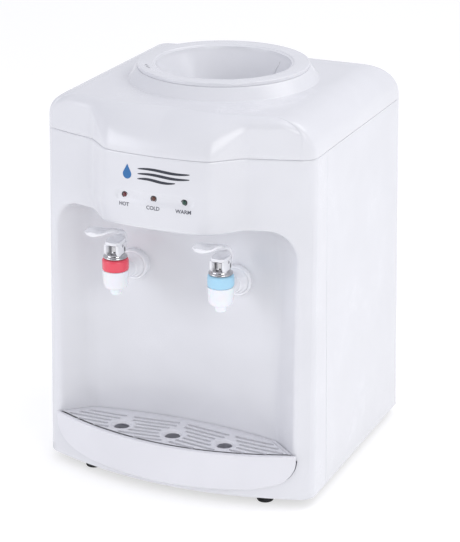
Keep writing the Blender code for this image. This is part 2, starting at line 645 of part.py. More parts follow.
def slot_spans(row):
    """Unbroken stretches of one row, as (start, end) in X, each at least 8 mm long."""
    step = 1 * MM
    stations = [step * k for k in range(-124, 125)]
    spans = []
    start = None
    for x in stations:
        fits = slot_fits(x, row)
        if fits and start is None:
            start = x
        if start is not None and not fits:
            if x - start > 8 * MM:
                spans.append((start, x - step))
            start = None
    return spans


def make_grill():
    """Flat grill: rows of slots that follow its bowed back, ribs between them, three holes."""
    top = TRAY_TOP_Z
    grill = prism("tray_grill", tray_plan(3.9 * MM, 3.9 * MM, 120.4 * MM), top - GRILL_T, top,
                  "Z", TRAY_WHITE)
    shapes = []
    half = GRILL_SLOT / 2
    for row in range(GRILL_ROWS):
        for start, end in slot_spans(row):
            xs = [float(x) for x in np.linspace(start, end, 4)]
            low = [(x, slot_row_y(x, row) - half) for x in xs]
            high = [(x, slot_row_y(x, row) + half) for x in reversed(xs)]
            shapes.append(prism_bmesh(low + high, top - 10 * MM, top + 10 * MM))
    for x in (-HOLE_X, 0, HOLE_X):
        shapes.append(prism_bmesh(arc(x, HOLE_Y, HOLE_R, 0, 337.5, 15), top - 10 * MM,
                                  top + 10 * MM))
    return boolean(grill, joined("grill_openings", shapes))


# ---------------------------------------------------------------- indicator lights

def make_lights():
    for name, k, lens in (("led_hot", -1, LENS_RED), ("led_cold", 0, LENS_AMBER),
                          ("led_warm", 1, LENS_GREEN)):
        x = k * LED_PITCH
        face = front_y(x, LED_Z) - 0.9 * MM
        turned(name, [(0, face), (LED_R * 0.7, face + 0.35 * MM), (LED_R, face + 1.2 * MM),
                      (LED_R, face + 8 * MM), (0, face + 8 * MM)], (x, 0, LED_Z), "Y", 12, lens)
    board_y = front_y(0, LED_Z) + 9 * MM
    box("led_board", (-42 * MM, board_y, LED_Z - 9 * MM),
        (42 * MM, board_y + 1.6 * MM, LED_Z + 9 * MM), BOARD)


# ---------------------------------------------------------------- water circuit

def make_tanks():
    centre = (0, COLLAR_Y, 0)
    turned("cold_tank", [(0, COLD_LOW_Z), (COLD_TANK_R, COLD_LOW_Z), (COLD_TANK_R, COLD_TOP_Z),
                         (COLD_TANK_R - 2 * MM, COLD_TOP_Z),
                         (COLD_TANK_R - 2 * MM, COLD_LOW_Z + 2 * MM), (0, COLD_LOW_Z + 2 * MM)],
           centre, "Z", 28, STEEL)
    turned("cold_tank_lid", [(40 * MM, COLD_TOP_Z + GAP), (COLD_TANK_R + 1 * MM, COLD_TOP_Z + GAP),
                             (COLD_TANK_R + 1 * MM, COLD_TOP_Z + 3 * MM),
                             (40 * MM, COLD_TOP_Z + 3 * MM)], centre, "Z", 28, TAP_WHITE)
    turned("cold_baffle", [(6 * MM, 262 * MM), (COLD_TANK_R - 2.6 * MM, 262 * MM),
                           (COLD_TANK_R - 2.6 * MM, 264 * MM), (6 * MM, 264 * MM)],
           centre, "Z", 28, TAP_WHITE)
    jacket = turned("cold_jacket", [(COLD_TANK_R + GAP, COLD_LOW_Z), (COLD_TANK_R + 8 * MM,
                                                                      COLD_LOW_Z),
                                    (COLD_TANK_R + 8 * MM, COLD_TOP_Z - 8 * MM),
                                    (COLD_TANK_R + GAP, COLD_TOP_Z - 8 * MM)],
                    centre, "Z", 28, FOAM)
    boolean(jacket, box("plate_gap", (-24 * MM, 40 * MM, 200 * MM), (24 * MM, 100 * MM, 330 * MM)))

    hot = (HOT_X, HOT_Y, 0)
    turned("hot_tank", [(5 * MM, HOT_TOP_Z), (HOT_R - 4 * MM, HOT_TOP_Z), (HOT_R, HOT_TOP_Z - 4 * MM),
                        (HOT_R, HOT_LOW_Z), (0, HOT_LOW_Z), (0, HOT_LOW_Z + 1.5 * MM),
                        (HOT_R - 1.5 * MM, HOT_LOW_Z + 1.5 * MM),
                        (HOT_R - 1.5 * MM, HOT_TOP_Z - 5 * MM), (HOT_R - 5 * MM, HOT_TOP_Z - 1.5 * MM),
                        (5 * MM, HOT_TOP_Z - 1.5 * MM)], hot, "Z", 24, STEEL)
    turned("heater_band", [(HOT_R + GAP, 90 * MM), (HOT_R + 3.5 * MM, 90 * MM),
                           (HOT_R + 3.5 * MM, 118 * MM), (HOT_R + GAP, 118 * MM)],
           hot, "Z", 24, STEEL)
    for name, dx in (("hot_thermostat", -20 * MM), ("thermal_cutout", 20 * MM)):
        turned(name, [(0, HOT_TOP_Z + GAP), (8 * MM, HOT_TOP_Z + GAP), (8 * MM, HOT_TOP_Z + 5 * MM),
                      (6 * MM, HOT_TOP_Z + 9 * MM), (0, HOT_TOP_Z + 9 * MM)],
               (HOT_X + dx, HOT_Y, 0), "Z", 12, BLACK_PLASTIC)
    ring = HOT_R + GAP
    stand = turned("hot_tank_stand", [(ring - 6 * MM, 14.4 * MM), (ring + 4 * MM, 14.4 * MM),
                                      (ring + 4 * MM, HOT_LOW_Z + 6 * MM),
                                      (ring, HOT_LOW_Z + 6 * MM),
                                      (ring, HOT_LOW_Z - GAP), (ring - 6 * MM, HOT_LOW_Z - GAP)],
                   hot, "Z", 24, GREY_SHEET)
    boolean(stand, box("stand_gap", (HOT_X - 12 * MM, HOT_Y, 20 * MM),
                       (HOT_X + 12 * MM, HOT_Y + 80 * MM, 80 * MM)))


def make_tube(name, route, radius, material=SILICONE):
    """Tube along a smooth curve through a few points."""
    points = [Vector(p) for p in route]
    padded = [2 * points[0] - points[1]] + points + [2 * points[-1] - points[-2]]
    path = []
    for k in range(1, len(padded) - 2):
        for t in (0, 1 / 3, 2 / 3):
            a, b, c, d = padded[k - 1:k + 3]
            path.append(0.5 * (2 * b + (c - a) * t + (2 * a - 5 * b + 4 * c - d) * t ** 2
                               + (3 * b - a - 3 * c + d) * t ** 3))
    path.append(points[-1])
    curve = bpy.data.curves.new(name, "CURVE")
    curve.dimensions = "3D"
    curve.bevel_depth = radius
    curve.bevel_resolution = 2
    curve.use_fill_caps = True
    spline = curve.splines.new("POLY")
    spline.points.add(len(path) - 1)
    for point, place in zip(spline.points, path):
        point.co = (*place, 1)
    curve.materials.append(material)
    obj = bpy.data.objects.new(name, curve)
    bpy.context.scene.collection.objects.link(obj)
    obj.parent = body_frame
    return obj


def make_tubes():
    """Silicone tubes; each end runs straight at its port for a short way."""
    tail_y = TAP_TAIL_Y + 1.5 * MM
    under_cold, over_hot = COLD_LOW_Z - 1 * MM, HOT_TOP_Z + 1 * MM
    make_tube("cold_outlet_tube", [(TAP_X, tail_y, TAP_PIPE_Z), (TAP_X, tail_y + 8 * MM, TAP_PIPE_Z),
                                   (50 * MM, -40 * MM, 196 * MM), (36 * MM, -10 * MM, 192 * MM),
                                   (30 * MM, 0, 206 * MM), (30 * MM, 0, under_cold)], 4 * MM)
    make_tube("hot_outlet_tube", [(-TAP_X, tail_y, TAP_PIPE_Z), (-TAP_X, tail_y + 8 * MM, TAP_PIPE_Z),
                                  (-53 * MM, -30 * MM, 202 * MM), (-49 * MM, 10 * MM, 200 * MM),
                                  (HOT_X, HOT_Y, 182 * MM), (HOT_X, HOT_Y, over_hot)], 4 * MM)
    make_tube("hot_feed_tube", [(16 * MM, 20 * MM, under_cold), (16 * MM, 20 * MM, 208 * MM),
                                (20 * MM, 28 * MM, 140 * MM), (14 * MM, 30 * MM, 82 * MM),
                                (6 * MM, HOT_Y, 74 * MM),
                                (HOT_X + HOT_R + 0.8 * MM, HOT_Y, 74 * MM)], 4 * MM)
    make_tube("drain_tube", [(HOT_X, HOT_Y, HOT_LOW_Z - 2 * MM), (HOT_X, HOT_Y, 56 * MM),
                             (HOT_X - 3 * MM, HOT_Y + 14 * MM, DRAIN_Z),
                             (DRAIN_X, 106 * MM, DRAIN_Z), (DRAIN_X, 118 * MM, DRAIN_Z)], 4 * MM)


# ---------------------------------------------------------------- cooling unit

def make_cooling():
    mid = FAN_Z
    box("cold_plate", (-22 * MM, COLLAR_Y + COLD_TANK_R + 0.5 * MM, mid - 26 * MM),
        (22 * MM, 84 * MM, mid + 26 * MM), ALUMINIUM)
    box("peltier_module", (-20 * MM, 84.3 * MM, mid - 20 * MM), (20 * MM, 88.3 * MM, mid + 20 * MM),
        CERAMIC)
    fins = [(-45 * MM, 88.6 * MM), (45 * MM, 88.6 * MM)]
    outline = [fins[0], fins[1]]
    for k in range(9):
        x = 45 * MM - k * 10.8 * MM
        outline += [(x, 112 * MM), (x - 3.6 * MM, 112 * MM)]
        if k < 8:
            outline += [(x - 3.6 * MM, 94 * MM), (x - 10.8 * MM, 94 * MM)]
    prism("heat_sink", outline, mid - 45 * MM, mid + 45 * MM, "Z", ALUMINIUM)

    low_y, high_y = 112.5 * MM, 127.5 * MM
    frame = prism("fan_frame", rounded_rect(-FAN_HALF, mid - FAN_HALF, FAN_HALF, mid + FAN_HALF,
                                            5 * MM, 3), low_y, high_y, "Y", BLACK_PLASTIC)
    boolean(frame, turned("fan_bore", [(0, 100 * MM), (37 * MM, 100 * MM), (37 * MM, 140 * MM),
                                       (0, 140 * MM)], (0, 0, mid), "Y", 40))
    motor = turned("fan_motor_mount", [(0, high_y - 4 * MM), (15 * MM, high_y - 4 * MM),
                                       (15 * MM, high_y - 1 * MM), (0, high_y - 1 * MM)],
                   (0, 0, mid), "Y", 20)
    boolean(frame, motor, "UNION")
    for k in range(4):
        angle = math.radians(45 + 90 * k)
        along = Vector((math.cos(angle), math.sin(angle)))
        across = Vector((-along.y, along.x)) * 1.6 * MM
        ends = (along * 12 * MM, along * 39 * MM)
        outline = [ends[0] - across, ends[1] - across, ends[1] + across, ends[0] + across]
        arm = prism(f"fan_arm_{k}", [(p.x, p.y + mid) for p in outline], high_y - 3.6 * MM,
                    high_y - 1.2 * MM, "Y")
        boolean(frame, arm, "UNION")

    rotor = turned("fan_rotor", [(0, low_y + 1 * MM), (13 * MM, low_y + 1 * MM),
                                 (14 * MM, low_y + 2 * MM), (14 * MM, high_y - 4.6 * MM),
                                 (0, high_y - 4.6 * MM)], (0, 0, mid), "Y", 21, BLACK_PLASTIC)
    for k in range(7):
        spin = Matrix.Rotation(math.tau * k / 7, 3, "Y")
        rings = []
        for radius, half, pitch in ((11, 5.4, 0.72), (23, 8.0, 0.55), (35.5, 9.6, 0.42)):
            ring = []
            for u, v in ((-1, -0.5), (1, -0.5), (1, 0.5), (-1, 0.5)):
                across = half * u * math.cos(pitch) - v * math.sin(pitch)
                deep = half * u * math.sin(pitch) * 0.85 + v * math.cos(pitch)
                point = spin @ Vector((across * MM, deep * MM, radius * MM))
                ring.append((point.x, point.y + (low_y + high_y) / 2 - 1.8 * MM, point.z + mid))
            rings.append(ring)
        boolean(rotor, loft(f"blade_{k}", rings), "UNION")
    pivot_at(rotor, (0, low_y, mid))


# ---------------------------------------------------------------- electrics and rear fittings

def make_electrics():
    box("power_board", (118 * MM, -50 * MM, 70 * MM), (119.6 * MM, 50 * MM, 170 * MM), BOARD)
    prism("power_transformer", rounded_rect(-20 * MM, 90 * MM, 22 * MM, 130 * MM, 3 * MM, 2),
          84 * MM, 117.7 * MM, "X", FOAM)
    turned("cord_gland", [(4 * MM, 130 * MM), (7 * MM, 130 * MM), (7 * MM, 141.2 * MM),
                          (10 * MM, 141.2 * MM), (9.4 * MM, 144.6 * MM), (6 * MM, 146.6 * MM),
                          (4 * MM, 146.6 * MM)], (GLAND_X, 0, GLAND_Z), "Y", 18, BLACK_RUBBER)

    rear = back_y(SWITCH_Z)
    plate = prism("switch_frame", rounded_rect(SWITCH_X - 29 * MM, SWITCH_Z - 19 * MM,
                                               SWITCH_X + 29 * MM, SWITCH_Z + 19 * MM, 3 * MM, 3),
                  rear + 0.6 * MM, rear + 3 * MM, "Y", BLACK_PLASTIC)
    can = box("switch_can", (SWITCH_X - 25 * MM, rear - 20 * MM, SWITCH_Z - 15 * MM),
              (SWITCH_X + 25 * MM, rear + 1.5 * MM, SWITCH_Z + 15 * MM))
    boolean(plate, can, "UNION")
    for name, side, colour in (("hot_switch", -1, SWITCH_RED), ("cold_switch", 1, SWITCH_GREEN)):
        x = SWITCH_X + side * 12.5 * MM
        pocket = box(name + "_pocket", (x - 10 * MM, rear - 14 * MM, SWITCH_Z - 13 * MM),
                     (x + 10 * MM, rear + 10 * MM, SWITCH_Z + 13 * MM))
        boolean(plate, pocket)
        tilt = math.radians(10)
        outline = []
        for a, b in ((-11.6, 1.0), (0, -0.6), (11.6, 1.0), (11.2, -4), (0, -8), (-11.2, -4)):
            z = a * math.cos(tilt) - b * math.sin(tilt)
            y = a * math.sin(tilt) + b * math.cos(tilt)
            outline.append((rear + 2.2 * MM + y * MM, SWITCH_Z + z * MM))
        rocker = prism(name, outline, x - 9.4 * MM, x + 9.4 * MM, "X", colour)
        pivot_at(rocker, (x, rear - 1 * MM, SWITCH_Z))

    turned("drain_spout", [(4 * MM, 118.6 * MM), (7.2 * MM, 118.6 * MM), (7.2 * MM, 137.6 * MM),
                           (9 * MM, 137.6 * MM), (9 * MM, 141.6 * MM), (12 * MM, 141.6 * MM),
                           (12 * MM, 143.6 * MM), (8 * MM, 143.6 * MM), (8 * MM, 152 * MM),
                           (4 * MM, 152 * MM)], (DRAIN_X, 0, DRAIN_Z), "Y", 18, TAP_WHITE)
    washer = turned("drain_washer", [(4.4 * MM, 152.3 * MM), (8 * MM, 152.3 * MM),
                                     (8 * MM, 154 * MM), (4.4 * MM, 154 * MM)],
                    (DRAIN_X, 0, DRAIN_Z), "Y", 18, BLACK_RUBBER)
    pivot_at(washer, (DRAIN_X, 152.3 * MM, DRAIN_Z))
    cap = turned("drain_cap", [(8.4 * MM, 144.2 * MM), (10.8 * MM, 144.2 * MM),
                               (10.8 * MM, DRAIN_END_Y - 0.8 * MM), (10 * MM, DRAIN_END_Y),
                               (0, DRAIN_END_Y), (0, 154.3 * MM), (8.4 * MM, 154.3 * MM)],
                 (DRAIN_X, 0, DRAIN_Z), "Y", 18, TAP_WHITE)
    pivot_at(cap, (DRAIN_X, 154.3 * MM, DRAIN_Z))


# ---------------------------------------------------------------- assembly

make_front_panel()
make_side_panel("left_side_panel", -1)
make_side_panel("right_side_panel", 1)
make_back_panel()
make_base_pan()
for foot, foot_x, foot_y in (("foot_front_left", -95, -110), ("foot_front_right", 95, -110),
                             ("foot_rear_left", -105, 108), ("foot_rear_right", 105, 108)):
    make_foot(foot, foot_x * MM, foot_y * MM)
make_top_cover()
_, NECK_LOW_Z = make_bottle_seat()
make_seat_seal(NECK_LOW_Z)
make_tap("hot", -1, HOT_RED)
make_tap("cold", 1, COLD_BLUE)
make_tray()
make_grill()
make_lights()
make_tanks()
make_tubes()
make_cooling()
make_electrics()

for item in bpy.data.objects:
    if item.type == "MESH" and not item.hide_render:
        item.data.shade_smooth()
        item.data.set_sharp_from_angle(angle=math.radians(35))
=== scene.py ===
import json
import math

import bpy
import numpy as np
from mathutils import Matrix, Vector


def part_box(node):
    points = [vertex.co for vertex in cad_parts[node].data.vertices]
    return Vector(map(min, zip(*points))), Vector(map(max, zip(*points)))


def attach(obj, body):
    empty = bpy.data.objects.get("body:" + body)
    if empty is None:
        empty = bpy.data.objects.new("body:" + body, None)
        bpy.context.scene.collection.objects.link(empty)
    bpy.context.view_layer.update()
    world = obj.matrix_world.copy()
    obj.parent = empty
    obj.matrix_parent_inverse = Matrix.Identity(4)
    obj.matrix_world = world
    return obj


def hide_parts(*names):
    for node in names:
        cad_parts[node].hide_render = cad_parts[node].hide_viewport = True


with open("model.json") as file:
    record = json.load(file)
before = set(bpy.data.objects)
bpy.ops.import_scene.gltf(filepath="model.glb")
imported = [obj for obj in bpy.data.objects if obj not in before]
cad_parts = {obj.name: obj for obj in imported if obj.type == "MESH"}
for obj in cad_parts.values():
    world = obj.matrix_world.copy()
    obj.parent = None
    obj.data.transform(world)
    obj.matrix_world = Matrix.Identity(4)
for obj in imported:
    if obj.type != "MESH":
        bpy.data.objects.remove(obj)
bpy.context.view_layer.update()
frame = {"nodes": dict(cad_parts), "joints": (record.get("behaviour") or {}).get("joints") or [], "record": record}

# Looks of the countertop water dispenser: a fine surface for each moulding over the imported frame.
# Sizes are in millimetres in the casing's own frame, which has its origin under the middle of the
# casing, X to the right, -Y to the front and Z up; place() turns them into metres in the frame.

MM = 0.001


def span(node):
    """Lowest and highest corner of a frame node, in millimetres."""
    low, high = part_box(node)
    return np.array(low) / MM, np.array(high) / MM


# ---------------------------------------------------------------- sizes taken from the frame

BASE_HALF_D = 141.4                       # half depth of the casing at its foot
HALF_W = span("right_side_panel")[1][0]
SHIFT_Y = span("back_panel")[1][1] - BASE_HALF_D
FOOT_Z, PANEL_TOP_Z = span("front_panel")[0][2], span("front_panel")[1][2]
SEAM_Z, COLLAR_TOP_Z = span("top_cover")[0][2], span("top_cover")[1][2]
SEAT_TOP_Z = span("bottle_seat")[1][2]
NECK_LOW_Z = span("bottle_seat")[0][2]
SEAT_R = span("bottle_seat")[1][0]
TRAY_TOP_Z = span("drip_tray")[1][2]
GRILL_LOW_Z = span("tray_grill")[0][2]
RING_LOW, RING_HIGH = span("cold_ring")
TAP_X = (RING_LOW[0] + RING_HIGH[0]) / 2
TAP_Y = (RING_LOW[1] + RING_HIGH[1]) / 2 - SHIFT_Y
RING_R = (RING_HIGH[0] - RING_LOW[0]) / 2
RING_LOW_Z, RING_TOP_Z = RING_LOW[2], RING_HIGH[2]
SPOUT_LOW_Z = span("cold_tap_body")[0][2]
PIPE_Z = sum(span("cold_tap_flange")[i][2] for i in (0, 1)) / 2
FLANGE_R = PIPE_Z - span("cold_tap_flange")[0][2]
LEVER_TIP_Y = span("cold_lever")[0][1] - SHIFT_Y
LEVER_TOP_Z = span("cold_lever")[1][2]
PIVOT = {j["name"]: np.array(j["pos_m"]) / MM for j in frame["joints"] if "pos_m" in j}
PIVOT_Z = PIVOT["cold_lever_press"][2]
LED_PITCH = sum(span("led_warm")[i][0] for i in (0, 1)) / 2
LED_Z = sum(span("led_cold")[i][2] for i in (0, 1)) / 2
LED_R = (span("led_cold")[1][2] - span("led_cold")[0][2]) / 2

# ---------------------------------------------------------------- casing shape

TOP_Z = COLLAR_TOP_Z - 12.0               # flat top, a collar's height under the collar's lip
DRAFT_SIDE, DRAFT_FRONT, DRAFT_BACK = 5.6, 8.0, 8.2
FRONT_BOW = 28.5                          # how far the front falls back at its sides
FRONT_CORNER_R, BACK_CORNER_R = 16.0, 9.0
CORNER_SWEEP = 70.5                       # degrees the front corner turns through
CORNER_IN, CORNER_BACK = 0.666, 0.943     # its reach in X and in Y, as shares of its radius
SIDE_SEAM_Y, BACK_LAP = -74.0, 14.0
WALL, EDGE_EASE = 2.4, 0.35
CREST_X, BLOCK_FOOT_X = 54.0, 79.0        # the proud block: flat to its crest, gone at its foot
BLOCK_TOP, BLOCK_LOW = 20.0, 25.0         # how proud it stands at the seam and over the alcove
SIDE_ROLL, FLANK_ROLL = 33.0, 10.0
ALCOVE_HALF_W, ALCOVE_FLOOR_Z, ALCOVE_TOP_Z = 127.5, 26.0, 283.0
ALCOVE_TOP_R, ALCOVE_LOW_R = 28.0, 34.0
ALCOVE_BACK_X, ALCOVE_BACK_Y, ALCOVE_SAG = 101.0, -94.9, 11.1
ALCOVE_MOUTH_Y = -117.0
COLLAR_Y, COLLAR_BASE_R, COLLAR_TOP_R = 3.0, 94.2, 85.5
MOUTH_R, NECK_R = 69.0, 29.5
TRAY_FRONT_Y, TRAY_END_X, TRAY_END_Y = -151.5, 130.5, -121.2
HOLE_X, HOLE_Y, HOLE_R = 56.3, -121.8, 7.6


def rise(z):
    return (z - FOOT_Z) / (TOP_Z - FOOT_Z)


def half_width(z):
    return HALF_W - DRAFT_SIDE * rise(z)


def back_y(z):
    return BASE_HALF_D - DRAFT_BACK * rise(z)


def soft_step(value, low, high, soft=0.17):
    """0 below low and 1 above high, with rounded knees."""
    t = (np.asarray(value, float) - low) / (high - low)
    return (np.sqrt(t * t + soft ** 2) - np.sqrt((t - 1) ** 2 + soft ** 2) + 1) / 2


def blend(value, low, high):
    """Smooth 0 to 1 between two limits."""
    t = np.clip((np.asarray(value, float) - low) / (high - low), 0, 1)
    return t * t * (3 - 2 * t)


def block_depth(z):
    return np.interp(z, (ALCOVE_FLOOR_Z + 40, ALCOVE_TOP_Z - 8, SEAM_Z, TOP_Z),
                     (0, BLOCK_LOW, BLOCK_TOP, BLOCK_TOP))


def front_y(x, z, roll=0.0):
    """Front face of the casing; roll runs from 0 at the seam to 1 at the top's edge."""
    crest, foot = CREST_X - 6 * roll, BLOCK_FOOT_X - 7 * roll
    proud = block_depth(z) * soft_step(-np.abs(x), -foot, -crest)
    return -BASE_HALF_D + DRAFT_FRONT * rise(z) + FRONT_BOW * (x / half_width(z)) ** 2 - proud


# ---------------------------------------------------------------- mesh helpers

def place(points):
    """Casing millimetres to frame metres."""
    return (np.asarray(points, float) + (0, SHIFT_Y, 0)) * MM


def outward(mesh):
    """Turns a closed mesh's faces outwards."""
    mesh.calc_loop_triangles()
    spots = np.empty(len(mesh.vertices) * 3, np.float32)
    mesh.vertices.foreach_get("co", spots)
    corners = np.empty(len(mesh.loop_triangles) * 3, np.int32)
    mesh.loop_triangles.foreach_get("vertices", corners)
    a, b, c = spots.reshape(-1, 3)[corners.reshape(-1, 3)].astype(float).transpose(1, 0, 2)
    if (a * np.cross(b, c)).sum() < 0:
        mesh.flip_normals()


def piece(name, points, faces, material, smooth_angle=50):
    """Mesh object at the origin from points in casing millimetres, its faces turned outwards."""
    mesh = bpy.data.meshes.new(name)
    mesh.from_pydata(place(points), [], faces)
    outward(mesh)
    obj = bpy.data.objects.new(name, mesh)
    bpy.context.scene.collection.objects.link(obj)
    mesh.materials.append(material)
    mesh.shade_smooth()
    mesh.set_sharp_from_angle(angle=math.radians(smooth_angle))
    return obj


def loft_faces(rings, around, wrap, start=0):
    """Quads between rings of equal length; wrap joins the last ring to the first."""
    last = rings if wrap else rings - 1
    return [(start + i * around + j, start + i * around + (j + 1) % around,
             start + (i + 1) % rings * around + (j + 1) % around,
             start + (i + 1) % rings * around + j)
            for i in range(last) for j in range(around)]


def loft(name, rings, material, wrap=False, smooth_angle=50):
    """Closed shell through rings of points; open ends are closed by a fan to their middle."""
    rings = np.asarray(rings, float)
    count, around = rings.shape[:2]
    points = rings.reshape(-1, 3)
    faces = loft_faces(count, around, wrap)
    if not wrap:
        points = np.vstack([points, rings[0].mean(0), rings[-1].mean(0)])
        first, last, base = len(points) - 2, len(points) - 1, (count - 1) * around
        faces += [((j + 1) % around, j, first) for j in range(around)]
        faces += [(base + j, base + (j + 1) % around, last) for j in range(around)]
    return piece(name, points, faces, material, smooth_angle)


def rounded(points, radius, steps=4):
    """Polyline with its inner corners eased; radius may be one number or one for each corner."""
    points = [np.asarray(p, float) for p in points]
    radii = np.broadcast_to(radius, (len(points) - 2,))
    out = [points[0]]
    for before, corner, after, r in zip(points, points[1:], points[2:], radii):
        back, ahead = before - corner, after - corner
        reach = min(r, 0.45 * np.linalg.norm(back), 0.45 * np.linalg.norm(ahead))
        start = corner + back / np.linalg.norm(back) * reach
        end = corner + ahead / np.linalg.norm(ahead) * reach
        for k in range(steps + 1):
            t = k / steps
            out.append((1 - t) ** 2 * start + 2 * t * (1 - t) * corner + t * t * end)
    out.append(points[-1])
    return np.array(out)


def turned(name, profile, centre, axis, material, around=96, smooth_angle=50):
    """Closed lathe work: a profile of (radius, height) turned about an axis."""
    profile = np.asarray(profile, float)
    angles = np.linspace(0, math.tau, around, endpoint=False)
    rings = []
    for radius, height in profile:
        r = max(radius, 1e-4)
        a, b = r * np.cos(angles), r * np.sin(angles)
        h = np.full(around, height)
        turn = {"Z": (a, b, h), "Y": (a, h, b), "X": (h, a, b)}[axis]
        rings.append(np.stack(turn, 1) + np.array(centre))
    closed = profile[0][0] > 1e-3 or profile[-1][0] > 1e-3
    return loft(name, rings, material, wrap=closed, smooth_angle=smooth_angle)


def catmull(keys, values, at):
    """Smooth curve through key values."""
    slopes = np.gradient(values, keys)
    index = np.clip(np.searchsorted(keys, at, side="right") - 1, 0, len(keys) - 2)
    step = keys[index + 1] - keys[index]
    t = (at - keys[index]) / step
    return ((2 * t ** 3 - 3 * t ** 2 + 1) * values[index]
            + (t ** 3 - 2 * t ** 2 + t) * step * slopes[index]
            + (3 * t ** 2 - 2 * t ** 3) * values[index + 1]
            + (t ** 3 - t ** 2) * step * slopes[index + 1])


def slabs(pairs):
    """Points and faces of flat slabs, each given by its lower and its upper outline."""
    points, faces = [], []
    for lower, upper in pairs:
        base, n = len(points), len(lower)
        points += [*lower, *upper]
        faces += [(base + k, base + (k + 1) % n, base + n + (k + 1) % n, base + n + k)
                  for k in range(n)]
        faces += [tuple(base + k for k in range(n))[::-1], tuple(base + n + k for k in range(n))]
    return points, faces


def normals(grid, facing):
    """Unit normals of a closed-round grid of points, pointing to the facing side."""
    along = np.gradient(grid, axis=0)
    across = np.roll(grid, -1, axis=1) - np.roll(grid, 1, axis=1)
    out = np.cross(along, across)
    out /= np.linalg.norm(out, axis=2, keepdims=True) + 1e-12
    return out if (out * np.array(facing)).sum() > 0 else -out


def adopt(obj, body, slot, *nodes):
    """A finished piece rides on a body and stands for frame nodes; its slot argument is not used."""
    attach(obj, body)
    if nodes:
        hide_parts(*nodes)
    return obj


# ---------------------------------------------------------------- materials

class Value:
    """A socket of a node tree with arithmetic."""

    def __init__(self, nodes, socket):
        self.nodes, self.socket = nodes, socket

    def _math(self, operation, first, second=0.0):
        node = self.nodes.node("ShaderNodeMath", {"operation": operation}, {0: first, 1: second})
        return Value(self.nodes, node.outputs[0])

    def __add__(self, other):
        return self._math("ADD", self, other)

    __radd__ = __add__

    def __sub__(self, other):
        return self._math("SUBTRACT", self, other)

    def __rsub__(self, other):
        return self._math("SUBTRACT", other, self)

    def __mul__(self, other):
        return self._math("MULTIPLY", self, other)

    __rmul__ = __mul__

    def __truediv__(self, other):
        return self._math("DIVIDE", self, other)

    def least(self, other):
        return self._math("MINIMUM", self, other)

    def root(self):
        return self._math("SQRT", self)


class Nodes:
    """A node tree under construction."""

    def node(self, kind, settings=None, inputs=None):
        node = self.tree.nodes.new(kind)
        for label, value in (settings or {}).items():
            setattr(node, label, value)
        for key, value in (inputs or {}).items():
            if isinstance(value, Value):
                value = value.socket
            if isinstance(value, bpy.types.NodeSocket):
                self.tree.links.new(value, node.inputs[key])
            else:
                node.inputs[key].default_value = value
        return node


class Finish(Nodes):
    """A Principled material and the nodes that feed it."""

    def __init__(self, name, **constants):
        self.material = bpy.data.materials.new(name)
        self.material.use_nodes = True
        self.tree = self.material.node_tree
        self.shader = self.tree.nodes["Principled BSDF"]
        for label, value in constants.items():
            self.shader.inputs[label.replace("_", " ")].default_value = value
        self.coords = self.node("ShaderNodeTexCoord").outputs["Object"]

    def noise(self, scale, detail=3.0, roughness=0.5, stretch=None):
        """Noise about 0.5; scale is per metre and stretch squeezes it along an axis."""
        vector = self.coords
        if stretch:
            vector = self.node("ShaderNodeMapping", None,
                               {"Vector": vector, "Scale": stretch}).outputs[0]
        node = self.node("ShaderNodeTexNoise", {"noise_dimensions": "3D"},
                         {"Vector": vector, "Scale": scale, "Detail": detail,
                          "Roughness": roughness})
        return Value(self, node.outputs["Fac"])

    def grains(self, scale):
        node = self.node("ShaderNodeTexVoronoi", {"feature": "F1"},
                         {"Vector": self.coords, "Scale": scale})
        return Value(self, node.outputs["Distance"])

    def ramp(self, value, low, high):
        """Clamped 0 to 1 as a value passes from low to high."""
        node = self.node("ShaderNodeMapRange", {"interpolation_type": "SMOOTHSTEP"},
                         {"Value": value, "From Min": low, "From Max": high})
        return Value(self, node.outputs["Result"])

    def colour(self, mask, first, second):
        mix = self.node("ShaderNodeMix", {"data_type": "RGBA"},
                        {"Factor": mask, 6: (*first, 1), 7: (*second, 1)})
        self.tree.links.new(mix.outputs[2], self.shader.inputs["Base Color"])
        return self

    def feed(self, label, value):
        self.tree.links.new(value.socket, self.shader.inputs[label])
        return self

    def bump(self, height, distance, strength=1.0):
        node = self.node("ShaderNodeBump", None,
                         {"Height": height, "Distance": distance, "Strength": strength})
        self.tree.links.new(node.outputs["Normal"], self.shader.inputs["Normal"])
        return self


def moulded(name, colour, roughness, grain=0.02, coat=0.0, **constants):
    """Moulded plastic: faint shade drift, fine grain and polish that wanders a little."""
    finish = Finish(name, Coat_Weight=coat, Coat_Roughness=0.12, **constants)
    drift = finish.noise(14.0, 2.0)
    darker = tuple(c * 0.965 for c in colour)
    finish.colour(finish.ramp(drift, 0.3, 0.7), darker, colour)
    fine = finish.noise(2600.0, 2.0)
    finish.feed("Roughness", roughness + (drift - 0.5) * 0.07 + (fine - 0.5) * 0.05)
    finish.bump(fine * 0.7 + finish.noise(180.0, 1.0) * 0.3, grain * MM)
    return finish.material


def brushed(name, colour, roughness, stretch):
    """Metal with long fine scratches along one axis."""
    finish = Finish(name, Metallic=1.0)
    scratch = finish.noise(900.0, 3.0, stretch=stretch)
    finish.colour(scratch, tuple(c * 0.86 for c in colour), colour)
    finish.feed("Roughness", roughness + (scratch - 0.5) * 0.2)
    finish.bump(scratch, 0.01 * MM)
    return finish.material


def painted_sheet():
    """Grey powder coat with a fine orange-peel skin."""
    finish = Finish("painted_sheet")
    peel = finish.grains(1400.0)
    cloud = finish.noise(9.0, 3.0)
    finish.colour(finish.ramp(cloud, 0.3, 0.7), (0.56, 0.57, 0.60), (0.62, 0.63, 0.66))
    finish.feed("Roughness", 0.42 + (cloud - 0.5) * 0.1)
    finish.bump(peel, 0.03 * MM)
    return finish.material


